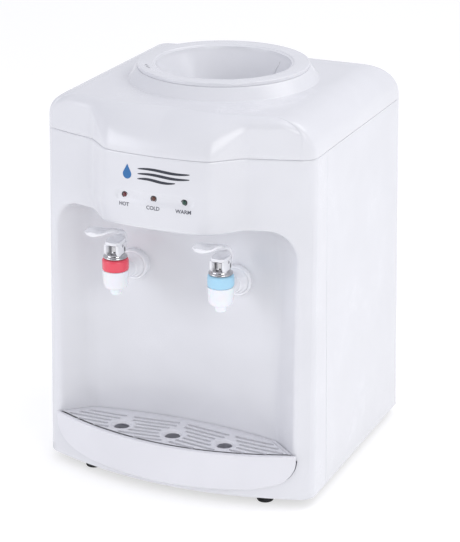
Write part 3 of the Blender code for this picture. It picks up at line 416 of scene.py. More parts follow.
def plated():
    """Chrome plate with the faintest haze."""
    finish = Finish("chrome_plate", Metallic=1.0)
    haze = finish.noise(700.0, 2.0)
    finish.colour(haze, (0.52, 0.51, 0.52), (0.60, 0.60, 0.61))
    finish.feed("Roughness", 0.04 + haze * 0.05)
    return finish.material


def rubber():
    finish = Finish("black_rubber", Specular_IOR_Level=0.3)
    dust = finish.noise(220.0, 4.0)
    finish.colour(finish.ramp(dust, 0.35, 0.8), (0.012, 0.012, 0.013), (0.045, 0.045, 0.047))
    finish.feed("Roughness", 0.68 + dust * 0.2)
    finish.bump(finish.noise(1500.0, 2.0), 0.05 * MM)
    return finish.material


def lens(name, tint):
    """Smoked lens over a lamp, its tint swirling a little."""
    finish = Finish(name, Coat_Weight=0.6, Coat_Roughness=0.05)
    swirl = finish.noise(900.0, 2.0)
    finish.colour(swirl, tuple(c * 0.5 for c in tint), tint)
    finish.feed("Roughness", 0.12 + swirl * 0.1)
    return finish.material


def board():
    """Solder-masked board with darker copper lanes."""
    finish = Finish("circuit_board")
    lanes = finish.noise(160.0, 1.0, stretch=(1, 6, 1))
    finish.colour(finish.ramp(lanes, 0.48, 0.52), (0.02, 0.16, 0.06), (0.04, 0.25, 0.10))
    finish.feed("Roughness", 0.32 + lanes * 0.15)
    finish.bump(finish.ramp(lanes, 0.48, 0.52), 0.03 * MM)
    return finish.material


def foam():
    finish = Finish("grey_foam", Specular_IOR_Level=0.2)
    cells = finish.grains(650.0)
    finish.colour(finish.ramp(cells, 0.1, 0.7), (0.34, 0.34, 0.36), (0.52, 0.52, 0.54))
    finish.feed("Roughness", 0.85 + cells * 0.1)
    finish.bump(cells, 0.25 * MM)
    return finish.material


def ceramic():
    finish = Finish("white_ceramic")
    grit = finish.noise(1100.0, 4.0)
    finish.colour(grit, (0.62, 0.62, 0.60), (0.86, 0.86, 0.84))
    finish.feed("Roughness", 0.5 + grit * 0.2)
    finish.bump(grit, 0.04 * MM)
    return finish.material


def ink(name, colour):
    """Printed mark with slightly uneven cover."""
    finish = Finish(name)
    cover = finish.noise(1800.0, 3.0)
    finish.colour(cover, tuple(c * 0.8 for c in colour), colour)
    finish.feed("Roughness", 0.4 + cover * 0.15)
    return finish.material


CASING = moulded("casing_white", (0.745, 0.75, 0.785), 0.26, coat=0.2)
TAP_WHITE = moulded("tap_white", (0.84, 0.845, 0.88), 0.22, coat=0.3)
SPOUT_WHITE = moulded("spout_white", (0.86, 0.88, 0.92), 0.25, Subsurface_Weight=0.25,
                      Subsurface_Scale=0.006)
TRAY_WHITE = moulded("tray_white", (0.755, 0.755, 0.795), 0.33)
HOT_RED = moulded("hot_red", (0.83, 0.075, 0.12), 0.24, coat=0.3)
COLD_BLUE = moulded("cold_blue", (0.40, 0.69, 0.88), 0.26, coat=0.3)
CHROME = plated()
SILICONE = moulded("silicone", (0.80, 0.80, 0.78), 0.45, Subsurface_Weight=0.2,
                   Subsurface_Scale=0.003)
MARK_BLUE = ink("mark_blue", (0.02, 0.16, 0.42))
MARK_DARK = ink("mark_dark", (0.03, 0.035, 0.05))
MARK_GREY = ink("mark_grey", (0.10, 0.105, 0.13))
FINISHES = {
    "casing": CASING,
    "tap_white": TAP_WHITE,
    "tray": TRAY_WHITE,
    "hot_ring": HOT_RED,
    "cold_ring": COLD_BLUE,
    "chrome": CHROME,
    "lens_red": lens("lens_red", (0.16, 0.012, 0.02)),
    "lens_amber": lens("lens_amber", (0.12, 0.03, 0.015)),
    "lens_green": lens("lens_green", (0.01, 0.07, 0.045)),
    "black_rubber": rubber(),
    "black_plastic": moulded("black_plastic", (0.025, 0.025, 0.028), 0.42, grain=0.05),
    "grey_sheet": painted_sheet(),
    "steel": brushed("stainless_steel", (0.62, 0.62, 0.64), 0.26, (1, 1, 0.02)),
    "aluminium": brushed("aluminium", (0.72, 0.72, 0.74), 0.38, (0.02, 1, 1)),
    "foam": foam(),
    "circuit_board": board(),
    "silicone": SILICONE,
    "ceramic": ceramic(),
    "switch_red": moulded("switch_red", (0.55, 0.02, 0.03), 0.3),
    "switch_green": moulded("switch_green", (0.03, 0.36, 0.12), 0.3),
}

for row in frame["record"]["subparts"]:
    node = frame["nodes"][row["node"]]
    for slot in node.material_slots:
        slot.material = FINISHES[row["material_slot"]]


# ---------------------------------------------------------------- front panel

def rect_loop(half, low, high, low_r, high_r, top=190, side=130, bottom=130, corner=26):
    """Rounded rectangle in X and Z from the top's middle, clockwise, with a fixed count."""
    def line(a, b, n):
        return [(a[0] + (b[0] - a[0]) * k / n, a[1] + (b[1] - a[1]) * k / n) for k in range(n)]

    def bend(cx, cz, r, start, end, n):
        angles = np.radians(np.linspace(start, end, n, endpoint=False))
        return [(cx + r * math.cos(a), cz + r * math.sin(a)) for a in angles]

    loop = line((0, high), (half - high_r, high), top // 2)
    loop += bend(half - high_r, high - high_r, high_r, 90, 0, corner)
    loop += line((half, high - high_r), (half, low + low_r), side)
    loop += bend(half - low_r, low + low_r, low_r, 0, -90, corner)
    loop += line((half - low_r, low), (-half + low_r, low), bottom)
    loop += bend(-half + low_r, low + low_r, low_r, -90, -180, corner)
    loop += line((-half, low + low_r), (-half, high - high_r), side)
    loop += bend(-half + high_r, high - high_r, high_r, 180, 90, corner)
    loop += line((-half + high_r, high), (0, high), top // 2)
    return np.array(loop)


CORNER_U = 133.6                          # unrolled width where the front's corner begins
FLAT_U = CORNER_U + FRONT_CORNER_R * math.radians(CORNER_SWEEP)
EDGE_U = FLAT_U + 28.0


def unrolled(u, z):
    """Point on the outside of the front panel; u runs round its corner on to the side."""
    u, z = np.broadcast_arrays(np.asarray(u, float), np.asarray(z, float))
    side, reach = np.sign(u), np.abs(u)
    end_x = half_width(z) - CORNER_IN * FRONT_CORNER_R
    x = np.minimum(reach, CORNER_U) / CORNER_U * end_x
    y = front_y(x, z)
    centre_y = front_y(end_x, z) + CORNER_BACK * FRONT_CORNER_R
    turn = np.clip((reach - CORNER_U) / (FLAT_U - CORNER_U), 0, 1)
    angle = np.radians(CORNER_SWEEP * (turn - 1))
    on_corner = reach > CORNER_U
    x = np.where(on_corner, half_width(z) - FRONT_CORNER_R * (1 - np.cos(angle)), x)
    y = np.where(on_corner, centre_y + FRONT_CORNER_R * np.sin(angle), y)
    flat = np.clip((reach - FLAT_U) / (EDGE_U - FLAT_U), 0, 1)
    y = y + flat * (SIDE_SEAM_Y - y)
    return np.stack([side * x, y, z], -1)


def eased_path(stops, reaches, counts, ease_steps=7):
    """Rings along straight runs between rings of stops, each inner stop eased by its reach."""
    rings = []
    start = stops[0]
    for index in range(1, len(stops)):
        end = stops[index]
        if index < len(stops) - 1:
            ahead = stops[index + 1] - end
            back = stops[index - 1] - end
            reach = reaches[index - 1]
            enter = end + back / np.linalg.norm(back, axis=1, keepdims=True) * reach
            leave = end + ahead / np.linalg.norm(ahead, axis=1, keepdims=True) * reach
        else:
            enter = end
        for k in range(counts[index - 1]):
            rings.append(start + (enter - start) * k / counts[index - 1])
        if index == len(stops) - 1:
            rings.append(end)
            break
        for k in range(ease_steps):
            t = k / ease_steps
            rings.append((1 - t) ** 2 * enter + 2 * t * (1 - t) * end + t * t * leave)
        start = leave
    return rings


GROOVE_HALF, GROOVE_R = LED_PITCH + 9.5, 4.2


def led_groove(points):
    """Depth of the shallow groove that the indicator lights sit in."""
    along = np.maximum(np.abs(points[..., 0]) - (GROOVE_HALF - GROOVE_R), 0)
    away = np.hypot(along, points[..., 2] - LED_Z)
    return 1.2 * blend(-away, -GROOVE_R - 0.9, -GROOVE_R + 1.2)


def front_panel():
    """Bowed face with its proud block, and the alcove moulded into it in one skin."""
    rim = rect_loop(ALCOVE_HALF_W, ALCOVE_FLOOR_Z, ALCOVE_TOP_Z, ALCOVE_LOW_R, ALCOVE_TOP_R)
    outer = rect_loop(EDGE_U, FOOT_Z, PANEL_TOP_Z, 0.02, 0.02)
    scale_u = CORNER_U / (half_width(rim[:, 1]) - CORNER_IN * FRONT_CORNER_R)
    rim_u = np.stack([rim[:, 0] * scale_u, rim[:, 1]], 1)
    inner_edge = rect_loop(EDGE_U - EDGE_EASE, FOOT_Z + EDGE_EASE, PANEL_TOP_Z - EDGE_EASE,
                           0.02, 0.02)
    rings = []
    for k in range(44):
        t = k / 43
        flat = inner_edge + (rim_u - inner_edge) * t
        rings.append(unrolled(flat[:, 0], flat[:, 1]))
    mouth = unrolled(rim_u[:, 0], rim_u[:, 1])
    back = rect_loop(ALCOVE_BACK_X, ALCOVE_FLOOR_Z, ALCOVE_TOP_Z, 26.0, 16.0)
    sag = ALCOVE_SAG * (1 - (back[:, 0] / ALCOVE_BACK_X) ** 2)
    back = np.stack([back[:, 0], ALCOVE_BACK_Y + sag, back[:, 1]], 1)
    middle = (ALCOVE_FLOOR_Z + ALCOVE_TOP_Z) / 2

    def back_wall(scale):
        x = back[:, 0] * scale
        y = ALCOVE_BACK_Y + ALCOVE_SAG * (1 - (x / ALCOVE_BACK_X) ** 2)
        return np.stack([x, y, middle + (back[:, 2] - middle) * scale], 1)

    rim_reach, fold_reach = 4.0, 9.0
    last = rings.pop()
    before = rings[-1]
    away = before - last
    step = away / np.linalg.norm(away, axis=1, keepdims=True)
    while np.linalg.norm(rings[-1] - last, axis=1).min() < rim_reach:
        rings.pop()
    rings += eased_path([last + step * rim_reach, mouth, back, back_wall(0.82)],
                        (rim_reach * 0.98, fold_reach), (1, 12, 3))
    rings += [back_wall(s) for s in np.linspace(0.80, 0.02, 18)]
    grid = np.array(rings)
    facing = normals(grid, (0, -1, 0))
    grid = grid - facing * led_groove(grid)[..., None]
    edge = unrolled(outer[:, 0], outer[:, 1])
    shoulder = edge - facing[0] * EDGE_EASE
    inner_rim = edge - facing[0] * WALL
    inner_rings = (grid - facing * WALL)[::-1][::4]
    rings = np.concatenate([grid[::-1], [shoulder], [inner_rim], inner_rings[::-1]])
    return adopt(loft("front_moulding", rings, CASING), "housing", "casing", "front_panel")


front_panel()


# ---------------------------------------------------------------- side panels

def side_panel(side):
    """Side skin that wraps round the rear corner on to the back, with eased edges."""
    stations = []
    front = SIDE_SEAM_Y + 0.3
    for k, y in enumerate([front, front + EDGE_EASE] + list(np.linspace(front + 6, 125, 40))):
        depth = EDGE_EASE if k == 0 else 0.0
        stations.append(("side", y, depth))
    for angle in np.linspace(0, 90, 13):
        stations.append(("corner", angle, 0.0))
    stations += [("back", 3.0, 0.0), ("back", BACK_LAP - BACK_CORNER_R - EDGE_EASE, 0.0),
                 ("back", BACK_LAP - BACK_CORNER_R, EDGE_EASE)]
    sections = []
    for kind, value, dip in stations:
        loop = []
        for z, depth in ((FOOT_Z + EDGE_EASE, 0), (PANEL_TOP_Z - EDGE_EASE, 0),
                         (PANEL_TOP_Z - 0.1, 0.1), (PANEL_TOP_Z, EDGE_EASE),
                         (PANEL_TOP_Z, WALL), (FOOT_Z, WALL), (FOOT_Z, EDGE_EASE),
                         (FOOT_Z + 0.1, 0.1)):
            depth = max(depth, dip)
            half, rear, r = half_width(z), back_y(z), BACK_CORNER_R
            if kind == "side":
                x, y = half - depth, value
            elif kind == "corner":
                a = math.radians(value)
                x = half - r + (r - depth) * math.cos(a)
                y = rear - r + (r - depth) * math.sin(a)
            else:
                x, y = half - r - value, rear - depth
            loop.append((side * x, y, z))
        sections.append(loop)
    name = "left" if side < 0 else "right"
    return adopt(loft(f"{name}_side_skin", sections, CASING, smooth_angle=40), "housing",
                 "casing", f"{name}_side_panel")


side_panel(-1)
side_panel(1)


# ---------------------------------------------------------------- top cover

FRONT_COUNT, CORNER_COUNT, SIDE_COUNT, REAR_COUNT, REAR_CORNER_COUNT = 110, 26, 44, 60, 12
LEAN = 0.14                               # share of the roll that the block leaves unturned


def half_outline(advance, part):
    """Right half of the cover's outline, from the middle of the front to that of the back.

    advance is 0 to 1 over the roll; part is the share of each wall's height under its roll.
    """
    angle = advance * math.pi / 2
    side_in = SIDE_ROLL * (1 - math.cos(angle))
    side_z0 = TOP_Z - SIDE_ROLL
    side_z = (SEAM_Z + (side_z0 - SEAM_Z) * part) + SIDE_ROLL * math.sin(angle)
    u = np.linspace(0, 1, FRONT_COUNT, endpoint=False)
    half = half_width(side_z) - side_in
    end_x = half - CORNER_IN * FRONT_CORNER_R
    crest, foot = CREST_X - 6 * advance, BLOCK_FOOT_X - 7 * advance
    x = np.interp(u, (0, 0.38, 0.66, 1), (0, crest - 6, foot + 6, end_x))
    block = soft_step(-np.abs(x), -foot, -crest)
    end_angle = angle * (1 - LEAN * block)
    height = FLANK_ROLL + (TOP_Z - SEAM_Z - FLANK_ROLL) * block
    toward_side = blend(x, end_x - 16, end_x + 8)
    height = height + (SIDE_ROLL - height) * toward_side * 0.5
    full = 1 - np.cos(math.pi / 2 * (1 - LEAN * block))
    setback = FLANK_ROLL + block * (28 - FLANK_ROLL) + 10 * block * np.clip(1 - x / crest, 0, 1)
    setback = setback + (SIDE_ROLL * 0.62 - setback) * toward_side * 0.5
    z0 = TOP_Z - height
    z = SEAM_Z + (z0 - SEAM_Z) * part
    z = z + height * np.sin(end_angle) / np.sin(math.pi / 2 * (1 - LEAN * block))
    y = front_y(x, z, advance) + setback * (1 - np.cos(end_angle)) / full
    front = np.stack([x, y, z], 1)
    t = np.linspace(0, 1, CORNER_COUNT, endpoint=False)
    bend = np.radians(CORNER_SWEEP * (t - 1))
    centre_y = y[-1] + CORNER_BACK * FRONT_CORNER_R
    corner_z = z[-1] + (side_z - z[-1]) * blend(t, 0, 1)
    corner = np.stack([half - FRONT_CORNER_R * (1 - np.cos(bend)),
                       centre_y + FRONT_CORNER_R * np.sin(bend), corner_z], 1)
    rear = back_y(side_z) - side_in
    r = BACK_CORNER_R
    ys = np.linspace(centre_y, rear - r, SIDE_COUNT, endpoint=False)
    side = np.stack([np.full(SIDE_COUNT, half), ys, np.full(SIDE_COUNT, side_z)], 1)
    bend = np.radians(np.linspace(0, 90, REAR_CORNER_COUNT, endpoint=False))
    rear_corner = np.stack([half - r + r * np.cos(bend), rear - r + r * np.sin(bend),
                            np.full(REAR_CORNER_COUNT, side_z)], 1)
    xs = np.linspace(half - r, 0, REAR_COUNT)
    back = np.stack([xs, np.full(REAR_COUNT, rear), np.full(REAR_COUNT, side_z)], 1)
    return np.vstack([front, corner, side, rear_corner, back])


def whole(half_points):
    """Adds the left half to a right half that starts and ends on the middle."""
    left = half_points[-2:0:-1] * (-1, 1, 1)
    return np.vstack([half_points, left])


def top_cover():
    """Cover with a rolled edge, the block's long roll and the collar round the bottle seat."""
    rings = [whole(half_outline(0, k / 6)) for k in range(7)]
    rings += [whole(half_outline(k / 22, 1)) for k in range(1, 23)]
    crease = rings[-1].copy()
    crease[:, 2] = TOP_Z
    around = np.arctan2(crease[:, 1] - COLLAR_Y, crease[:, 0])

    def circle(radius, z):
        return np.stack([radius * np.cos(around), COLLAR_Y + radius * np.sin(around),
                         np.full(len(around), z)], 1)

    base = circle(COLLAR_BASE_R + 1.6, TOP_Z)
    rings += [crease + (base - crease) * t for t in np.linspace(0.05, 1, 14)]
    collar = rounded([(COLLAR_BASE_R + 1.6, TOP_Z), (COLLAR_BASE_R, TOP_Z),
                      (COLLAR_TOP_R, COLLAR_TOP_Z), (82.3, COLLAR_TOP_Z),
                      (82.3, TOP_Z + 1.0), (90.5, TOP_Z - WALL)], (1.5, 1.2, 0.6, 1.5), 5)
    rings += [circle(r, z) for r, z in collar[1:]]
    grid = np.array(rings)
    facing = normals(grid, (0, 0, 1))
    first = grid[0] - facing[0] * EDGE_EASE
    grid[0][:, 2] += EDGE_EASE
    inner = [grid[k] - facing[k] * WALL for k in (40, 34, 29, 25, 21, 17, 13, 10, 7, 4, 1)]
    low = grid[0] - facing[0] * WALL
    low[:, 2] = SEAM_Z
    first[:, 2] = SEAM_Z
    rings = np.concatenate([grid, inner, [low], [first]])
    return adopt(loft("cover_moulding", rings, CASING, wrap=True), "housing", "casing",
                 "top_cover")


top_cover()


# ---------------------------------------------------------------- bottle seat

def bottle_seat():
    """Lift-out funnel: flat rim with a fine inner step, bell mouth and straight neck."""
    rim_low, depth = COLLAR_TOP_Z + 0.08, 76.0
    t = np.linspace(0.0, 1, 40)
    bell_r = NECK_R + (MOUTH_R - 2.5 - NECK_R) * (1 - t) ** 1.45
    bell_z = SEAT_TOP_Z - 3 - depth * t ** 0.9
    rim = rounded([(78, rim_low - 8), (SEAT_R - 3.3, rim_low - 8), (SEAT_R - 3.3, rim_low),
                   (SEAT_R, rim_low), (SEAT_R, SEAT_TOP_Z), (MOUTH_R + 0.6, SEAT_TOP_Z),
                   (MOUTH_R - 0.4, SEAT_TOP_Z - 1.1), (MOUTH_R - 2.2, SEAT_TOP_Z - 1.5),
                   (bell_r[0], bell_z[0] - 0.2)], (0.3, 0.4, 0.4, 1.1, 0.5, 0.4, 0.6), 4)
    inside = list(zip(bell_r[1:], bell_z[1:])) + [(NECK_R, NECK_LOW_Z), (NECK_R + WALL, NECK_LOW_Z)]
    outside = [(r + WALL, z - 1.2) for r, z in zip(bell_r[::-3], bell_z[::-3])]
    profile = list(rim) + inside + outside + [(78, rim_low - 1.2)]
    seat = turned("bottle_seat_moulding", profile, (0, COLLAR_Y, 0), "Z", CASING, 200)
    adopt(seat, "bottle_seat", "casing", "bottle_seat")
    angle = math.radians(52)
    along = np.array((math.cos(angle), math.sin(angle)))
    across = np.array((-along[1], along[0]))
    sections = []
    for k in range(2, 34):
        half = 1.5 * math.sin(math.pi * (k - 1.9) / 32.2) ** 0.3
        proud = 2.0 * math.sin(math.pi * (k - 1.9) / 32.2) ** 0.4
        loop = []
        for a, b in ((-1, -0.6), (-0.9, 0.7), (-0.5, 1), (0.5, 1), (0.9, 0.7), (1, -0.6)):
            spot = along * (bell_r[k] - proud * b) + across * half * a
            loop.append((spot[0], spot[1] + COLLAR_Y, bell_z[k] + 0.3 * b))
        sections.append(loop)
    adopt(loft("seat_rib", sections, CASING), "bottle_seat", "casing")


bottle_seat()


def rim_marks():
    """Twist mark on the rim: a dot and two arrow heads, moulded proud."""
    z = SEAT_TOP_Z
    centre_r = (MOUTH_R + SEAT_R) / 2
    start = math.atan2(-48, -59)

    def at(turn, out):
        a = start + turn
        r = centre_r + out
        return (r * math.cos(a), r * math.sin(a) + COLLAR_Y)

    shapes = [[at(0.02 * math.cos(a), 1.5 * math.sin(a)) for a in
               np.linspace(0, math.tau, 16, endpoint=False)]]
    for side in (-1, 1):
        shapes.append([at(side * 0.05, -1.8), at(side * 0.10, 0), at(side * 0.05, 1.8),
                       at(side * 0.065, 0)])
    points, faces = slabs([([(x, y, z - 0.2) for x, y in shape],
                            [(x, y, z + 0.001) for x, y in shape]) for shape in shapes])
    mark = piece("twist_mark", points, faces, MARK_GREY)
    adopt(mark, "bottle_seat", "casing")


rim_marks()


# ---------------------------------------------------------------- indicator lights and print

def face_y(x, z):
    """Front of the casing, groove included."""
    points = np.stack(np.broadcast_arrays(x, 0.0 * np.asarray(x, float), z), -1)
    return front_y(np.asarray(x, float), z) + led_groove(points)


def lights():
    """Three smoked lenses, each in a thin black bezel."""
    slots = {row["node"]: row["material_slot"] for row in frame["record"]["subparts"]}
    r = LED_R
    for x, name in ((-LED_PITCH, "led_hot"), (0, "led_cold"), (LED_PITCH, "led_warm")):
        y, slot = float(face_y(x, LED_Z)), slots[name]
        dome = rounded([(0, y - 1.0), (0.55 * r, y - 0.95), (0.9 * r, y - 0.45), (r, y + 0.4),
                        (r, y + 5), (0, y + 5)], 0.4, 3)
        bezel = rounded([(r + 0.05, y + 3), (r + 0.05, y - 0.2), (r + 0.85, y - 0.2),
                         (r + 0.9, y + 3)], 0.25, 3)
        middle = (x, 0, LED_Z)
        adopt(turned(f"{name}_lens", dome, middle, "Y", FINISHES[slot], 40), "housing", slot,
              name)
        adopt(turned(f"{name}_bezel", bezel, middle, "Y", FINISHES["black_plastic"], 40),
              "housing", "black_plastic")


def printed(name, outlines, material, thick=0.12):
    """Flat shapes of X and Z laid on the front of the casing, as one thin raised print."""
    pairs = []
    for outline in outlines:
        x, z = np.asarray(outline, float).T
        y = face_y(x, z)
        pairs.append((np.stack([x, y + 0.3, z], 1), np.stack([x, y - thick, z], 1)))
    points, faces = slabs(pairs)
    return adopt(piece(name, points, faces, material), "housing", "casing")


def lettering(name, text, x, z, height):
    """A word set in raised print on the front of the casing."""
    curve = bpy.data.curves.new(name, "FONT")
    curve.body = text
    curve.size = height / 0.72
    curve.align_x, curve.align_y = "CENTER", "CENTER"
    curve.extrude, curve.offset = 0.2, 0.1
    curve.resolution_u = 4
    source = bpy.data.objects.new(name + "_text", curve)
    bpy.context.scene.collection.objects.link(source)
    graph = bpy.context.evaluated_depsgraph_get()
    mesh = bpy.data.meshes.new_from_object(source.evaluated_get(graph))
    bpy.data.objects.remove(source)
    flat = np.array([v.co for v in mesh.vertices])
    px, pz = flat[:, 0] + x, flat[:, 1] + z
    spots = place(np.stack([px, face_y(px, pz) + 0.08 - flat[:, 2], pz], 1))
    mesh.vertices.foreach_set("co", spots.astype(np.float32).ravel())
    mesh.materials.clear()
    mesh.materials.append(MARK_GREY)
    mesh.update()
    obj = bpy.data.objects.new(name, mesh)
    bpy.context.scene.collection.objects.link(obj)
    return adopt(obj, "housing", "casing")


def arc_points(cx, cz, r, start, end, count):
    angles = np.radians(np.linspace(start, end, count))
    return [(cx + r * math.cos(a), cz + r * math.sin(a)) for a in angles]


def wave(name, x0, x1, z, lift, width):
    """Flowing printed bar that tapers to its ends."""
    rings = []
    for t in np.linspace(0, 1, 60):
        x = x0 + (x1 - x0) * t
        mid = z + lift * math.sin(t * math.tau)
        half = width / 2 * math.sin(math.pi * t) ** 0.4 + 0.02
        low, high = float(face_y(x, mid - half)), float(face_y(x, mid + half))
        rings.append([(x, low - 0.12, mid - half), (x, high - 0.12, mid + half),
                      (x, high + 0.3, mid + half), (x, low + 0.3, mid - half)])
    adopt(loft(name, rings, MARK_DARK, smooth_angle=30), "housing", "casing")


def emblem():
    """Water drop with three flowing bars beside it."""
    cx, cz, r = -28.0, 333.5, 4.6
    drop = arc_points(cx, cz, r, 160, 380, 30)
    tip = (cx, cz + 9.6)
    right = [((1 - t) * drop[-1][0] + t * tip[0], (1 - t) * drop[-1][1] + t * tip[1])
             for t in np.linspace(0.1, 1, 8)]
    left = [(2 * cx - x, z) for x, z in right[-2::-1]]
    printed("drop_print", [drop + right + left], MARK_BLUE)
    wave("wave_top", -17, 36, 340.0, 0.8, 2.6)
    wave("wave_middle", -17, 36, 335.2, 0.8, 2.6)
    wave("wave_low", -17, 22, 330.4, 0.8, 2.6)


lights()
emblem()
for label, label_x in (("HOT", -LED_PITCH), ("COLD", 0), ("WARM", LED_PITCH)):
    lettering(f"label_{label.lower()}", label, label_x, LED_Z - 8.6, 3.6)


# ---------------------------------------------------------------- taps

def alcove_back(x):
    return ALCOVE_BACK_Y + ALCOVE_SAG * (1 - (x / ALCOVE_BACK_X) ** 2)


def flange(side, name):
    """Wall flange with a raised ring and a smooth hub that tapers on to the pipe."""
    x = side * TAP_X
    wall = alcove_back(abs(x) - FLANGE_R) + 1.5
    profile = rounded([(8.0, wall), (8.0, -102.0), (9.0, -101.4), (10.6, -95.4), (12.4, -93.3),
                       (12.9, -92.6), (13.2, -93.8), (14.6, -93.6), (15.3, -92.2),
                       (FLANGE_R, -90.6), (FLANGE_R, wall)],
                      (0.5, 1.0, 3.0, 0.8, 0.3, 0.5, 0.6, 0.9, 0.8), 5)
    adopt(turned(f"{name}_flange", profile, (x, 0, PIPE_Z), "Y", TAP_WHITE, 120), "housing",
          "tap_white", f"{name}_tap_flange")


def pipe_rings(x, start, end, radius, count):
    """Rings of a level pipe, open towards both ends."""
    angles = np.linspace(0, math.tau, 64, endpoint=False)
    return [np.stack([x + radius * np.cos(angles), np.full(64, y),
                      PIPE_Z + radius * np.sin(angles)], 1)
            for y in np.linspace(start, end, count)]


def tap_body(side, name):
    """Valve body with its nozzle, and the pipe that joins it to the wall."""
    x = side * TAP_X
    low = SPOUT_LOW_Z
    profile = rounded([(4.0, low + 12), (4.0, low), (5.2, low), (5.8, low + 0.9), (6.2, low + 5.6),
                       (7.4, low + 6.6), (10.8, low + 7.2), (12.1, low + 10.4),
                       (12.8, RING_LOW_Z), (9.6, RING_LOW_Z + 0.2), (9.6, RING_TOP_Z - 0.3),
                       (0, RING_TOP_Z - 0.3)],
                      (0.4, 0.3, 0.6, 0.8, 0.6, 1.2, 2.6, 0.3, 0.2, 0.2), 6)
    profile = np.vstack([[(0, low + 12)], profile])
    adopt(turned(f"{name}_valve_body", profile, (x, TAP_Y, 0), "Z", SPOUT_WHITE, 120),
          "housing", "tap_white", f"{name}_tap_body")
    barrel = pipe_rings(x, TAP_Y + 6, -84, 8.2, 12)
    adopt(loft(f"{name}_pipe", barrel, TAP_WHITE), "housing", "tap_white")


def tap_ring(side, name, finish, slot):
    x = side * TAP_X
    r, low, high = RING_R, RING_LOW_Z, RING_TOP_Z
    profile = rounded([(9.9, low + 0.2), (r - 1.2, low), (r - 0.15, low + 1.0),
                       (r, low + 5.0), (r - 0.1, high - 1.6), (r - 1.4, high - 0.1),
                       (9.9, high), (9.9, low + 1.2)], (0.8, 1.0, 2.0, 1.0, 0.9, 0.3), 5)
    adopt(turned(f"{name}_colour_ring", profile, (x, TAP_Y, 0), "Z", finish, 120), "housing",
          slot, f"{name}_ring")


def bonnet(side, name):
    """Chromed collar: a rolled lower edge, a dished shoulder and the neck under the lever."""
    x, z = side * TAP_X, RING_TOP_Z + 0.3
    profile = rounded([(0, z), (11.2, z), (11.9, z + 0.9), (11.6, z + 2.0), (10.2, z + 2.5),
                       (9.9, z + 3.6), (8.8, z + 4.5), (5.2, z + 5.1), (4.7, z + 6.6),
                       (4.7, PIVOT_Z - 0.4), (4.0, PIVOT_Z + 0.1), (0, PIVOT_Z + 0.1)],
                      (0.8, 0.9, 0.8, 0.6, 0.5, 0.9, 1.0, 0.8, 0.4, 0.3), 6)
    adopt(turned(f"{name}_chrome_bonnet", profile, (x, TAP_Y, 0), "Z", CHROME, 120), "housing",
          "chrome", f"{name}_bonnet")
    pin = rounded([(0, -8.6), (1.3, -8.6), (1.4, -8.4), (1.4, 8.4), (1.3, 8.6), (0, 8.6)],
                  0.1, 2)
    adopt(turned(f"{name}_hinge_pin", pin, (x, TAP_Y, PIVOT_Z), "X", CHROME, 32), "housing",
          "chrome", f"{name}_lever_pin")


CHEEK_IN, CHEEK_OUT = 5.1, 8.1            # sides of the lever's fork


def sheet(x, outline):
    """A flat outline of Y and Z set upright at x."""
    return np.column_stack([np.full(len(outline), x), outline])


def paddle(x0, name):
    """Gooseneck behind the cap and the dished paddle to the front, in one sweep."""
    tip_z = LEVER_TOP_Z - 1.2
    spine = [(TAP_Y + 9.6, PIVOT_Z - 9, 6.0, 2.2), (TAP_Y + 11.6, PIVOT_Z - 4, 6.7, 2.6),
             (TAP_Y + 12.6, PIVOT_Z + 1, 6.9, 2.8), (TAP_Y + 12.6, PIVOT_Z + 5.5, 6.4, 2.8),
             (TAP_Y + 10.4, PIVOT_Z + 9.6, 5.8, 2.6), (TAP_Y + 5.2, PIVOT_Z + 12.2, 5.6, 2.6),
             (TAP_Y - 3, PIVOT_Z + 14.8, 6.0, 2.6), (TAP_Y - 11, PIVOT_Z + 18.2, 7.6, 2.9),
             (TAP_Y - 20, PIVOT_Z + 22.2, 9.9, 3.0), (TAP_Y - 30, PIVOT_Z + 25.2, 11.2, 2.9),
             (TAP_Y - 40, tip_z - 1.9, 10.6, 2.5), (TAP_Y - 46, tip_z - 1.2, 7.8, 2.0),
             (LEVER_TIP_Y + 0.9, tip_z - 0.9, 3.4, 1.2)]
    spine = np.array(spine)
    key = np.linspace(0, 1, len(spine))
    count = 90
    fine = np.linspace(0, 1, count)
    smooth = np.stack([catmull(key, spine[:, k], fine) for k in range(4)], 1)
    rings = []
    for i, (y, z, half, thick) in enumerate(smooth):
        ahead = smooth[min(i + 1, count - 1), :2] - smooth[max(i - 1, 0), :2]
        ahead /= np.linalg.norm(ahead)
        up = np.array((ahead[1], -ahead[0]))
        dish = 2.6 * blend(i, 46, 66) * (1 - blend(i, 83, count - 1))
        angles = np.linspace(0, math.tau, 40, endpoint=False)
        c, s = np.cos(angles), np.sin(angles)
        a = np.sign(c) * np.abs(c) ** 0.75 * half
        b = np.sign(s) * np.abs(s) ** 0.8 * thick
        b = b - dish * (1 - (a / half) ** 2) * np.where(s > 0, 1.6, 0.6)
        rings.append(np.stack([x0 + a, y + up[0] * b, z + up[1] * b], 1))
    body = name + "_lever"
    adopt(loft(f"{name}_lever_paddle", rings, TAP_WHITE, smooth_angle=60), body, "tap_white",
          body)


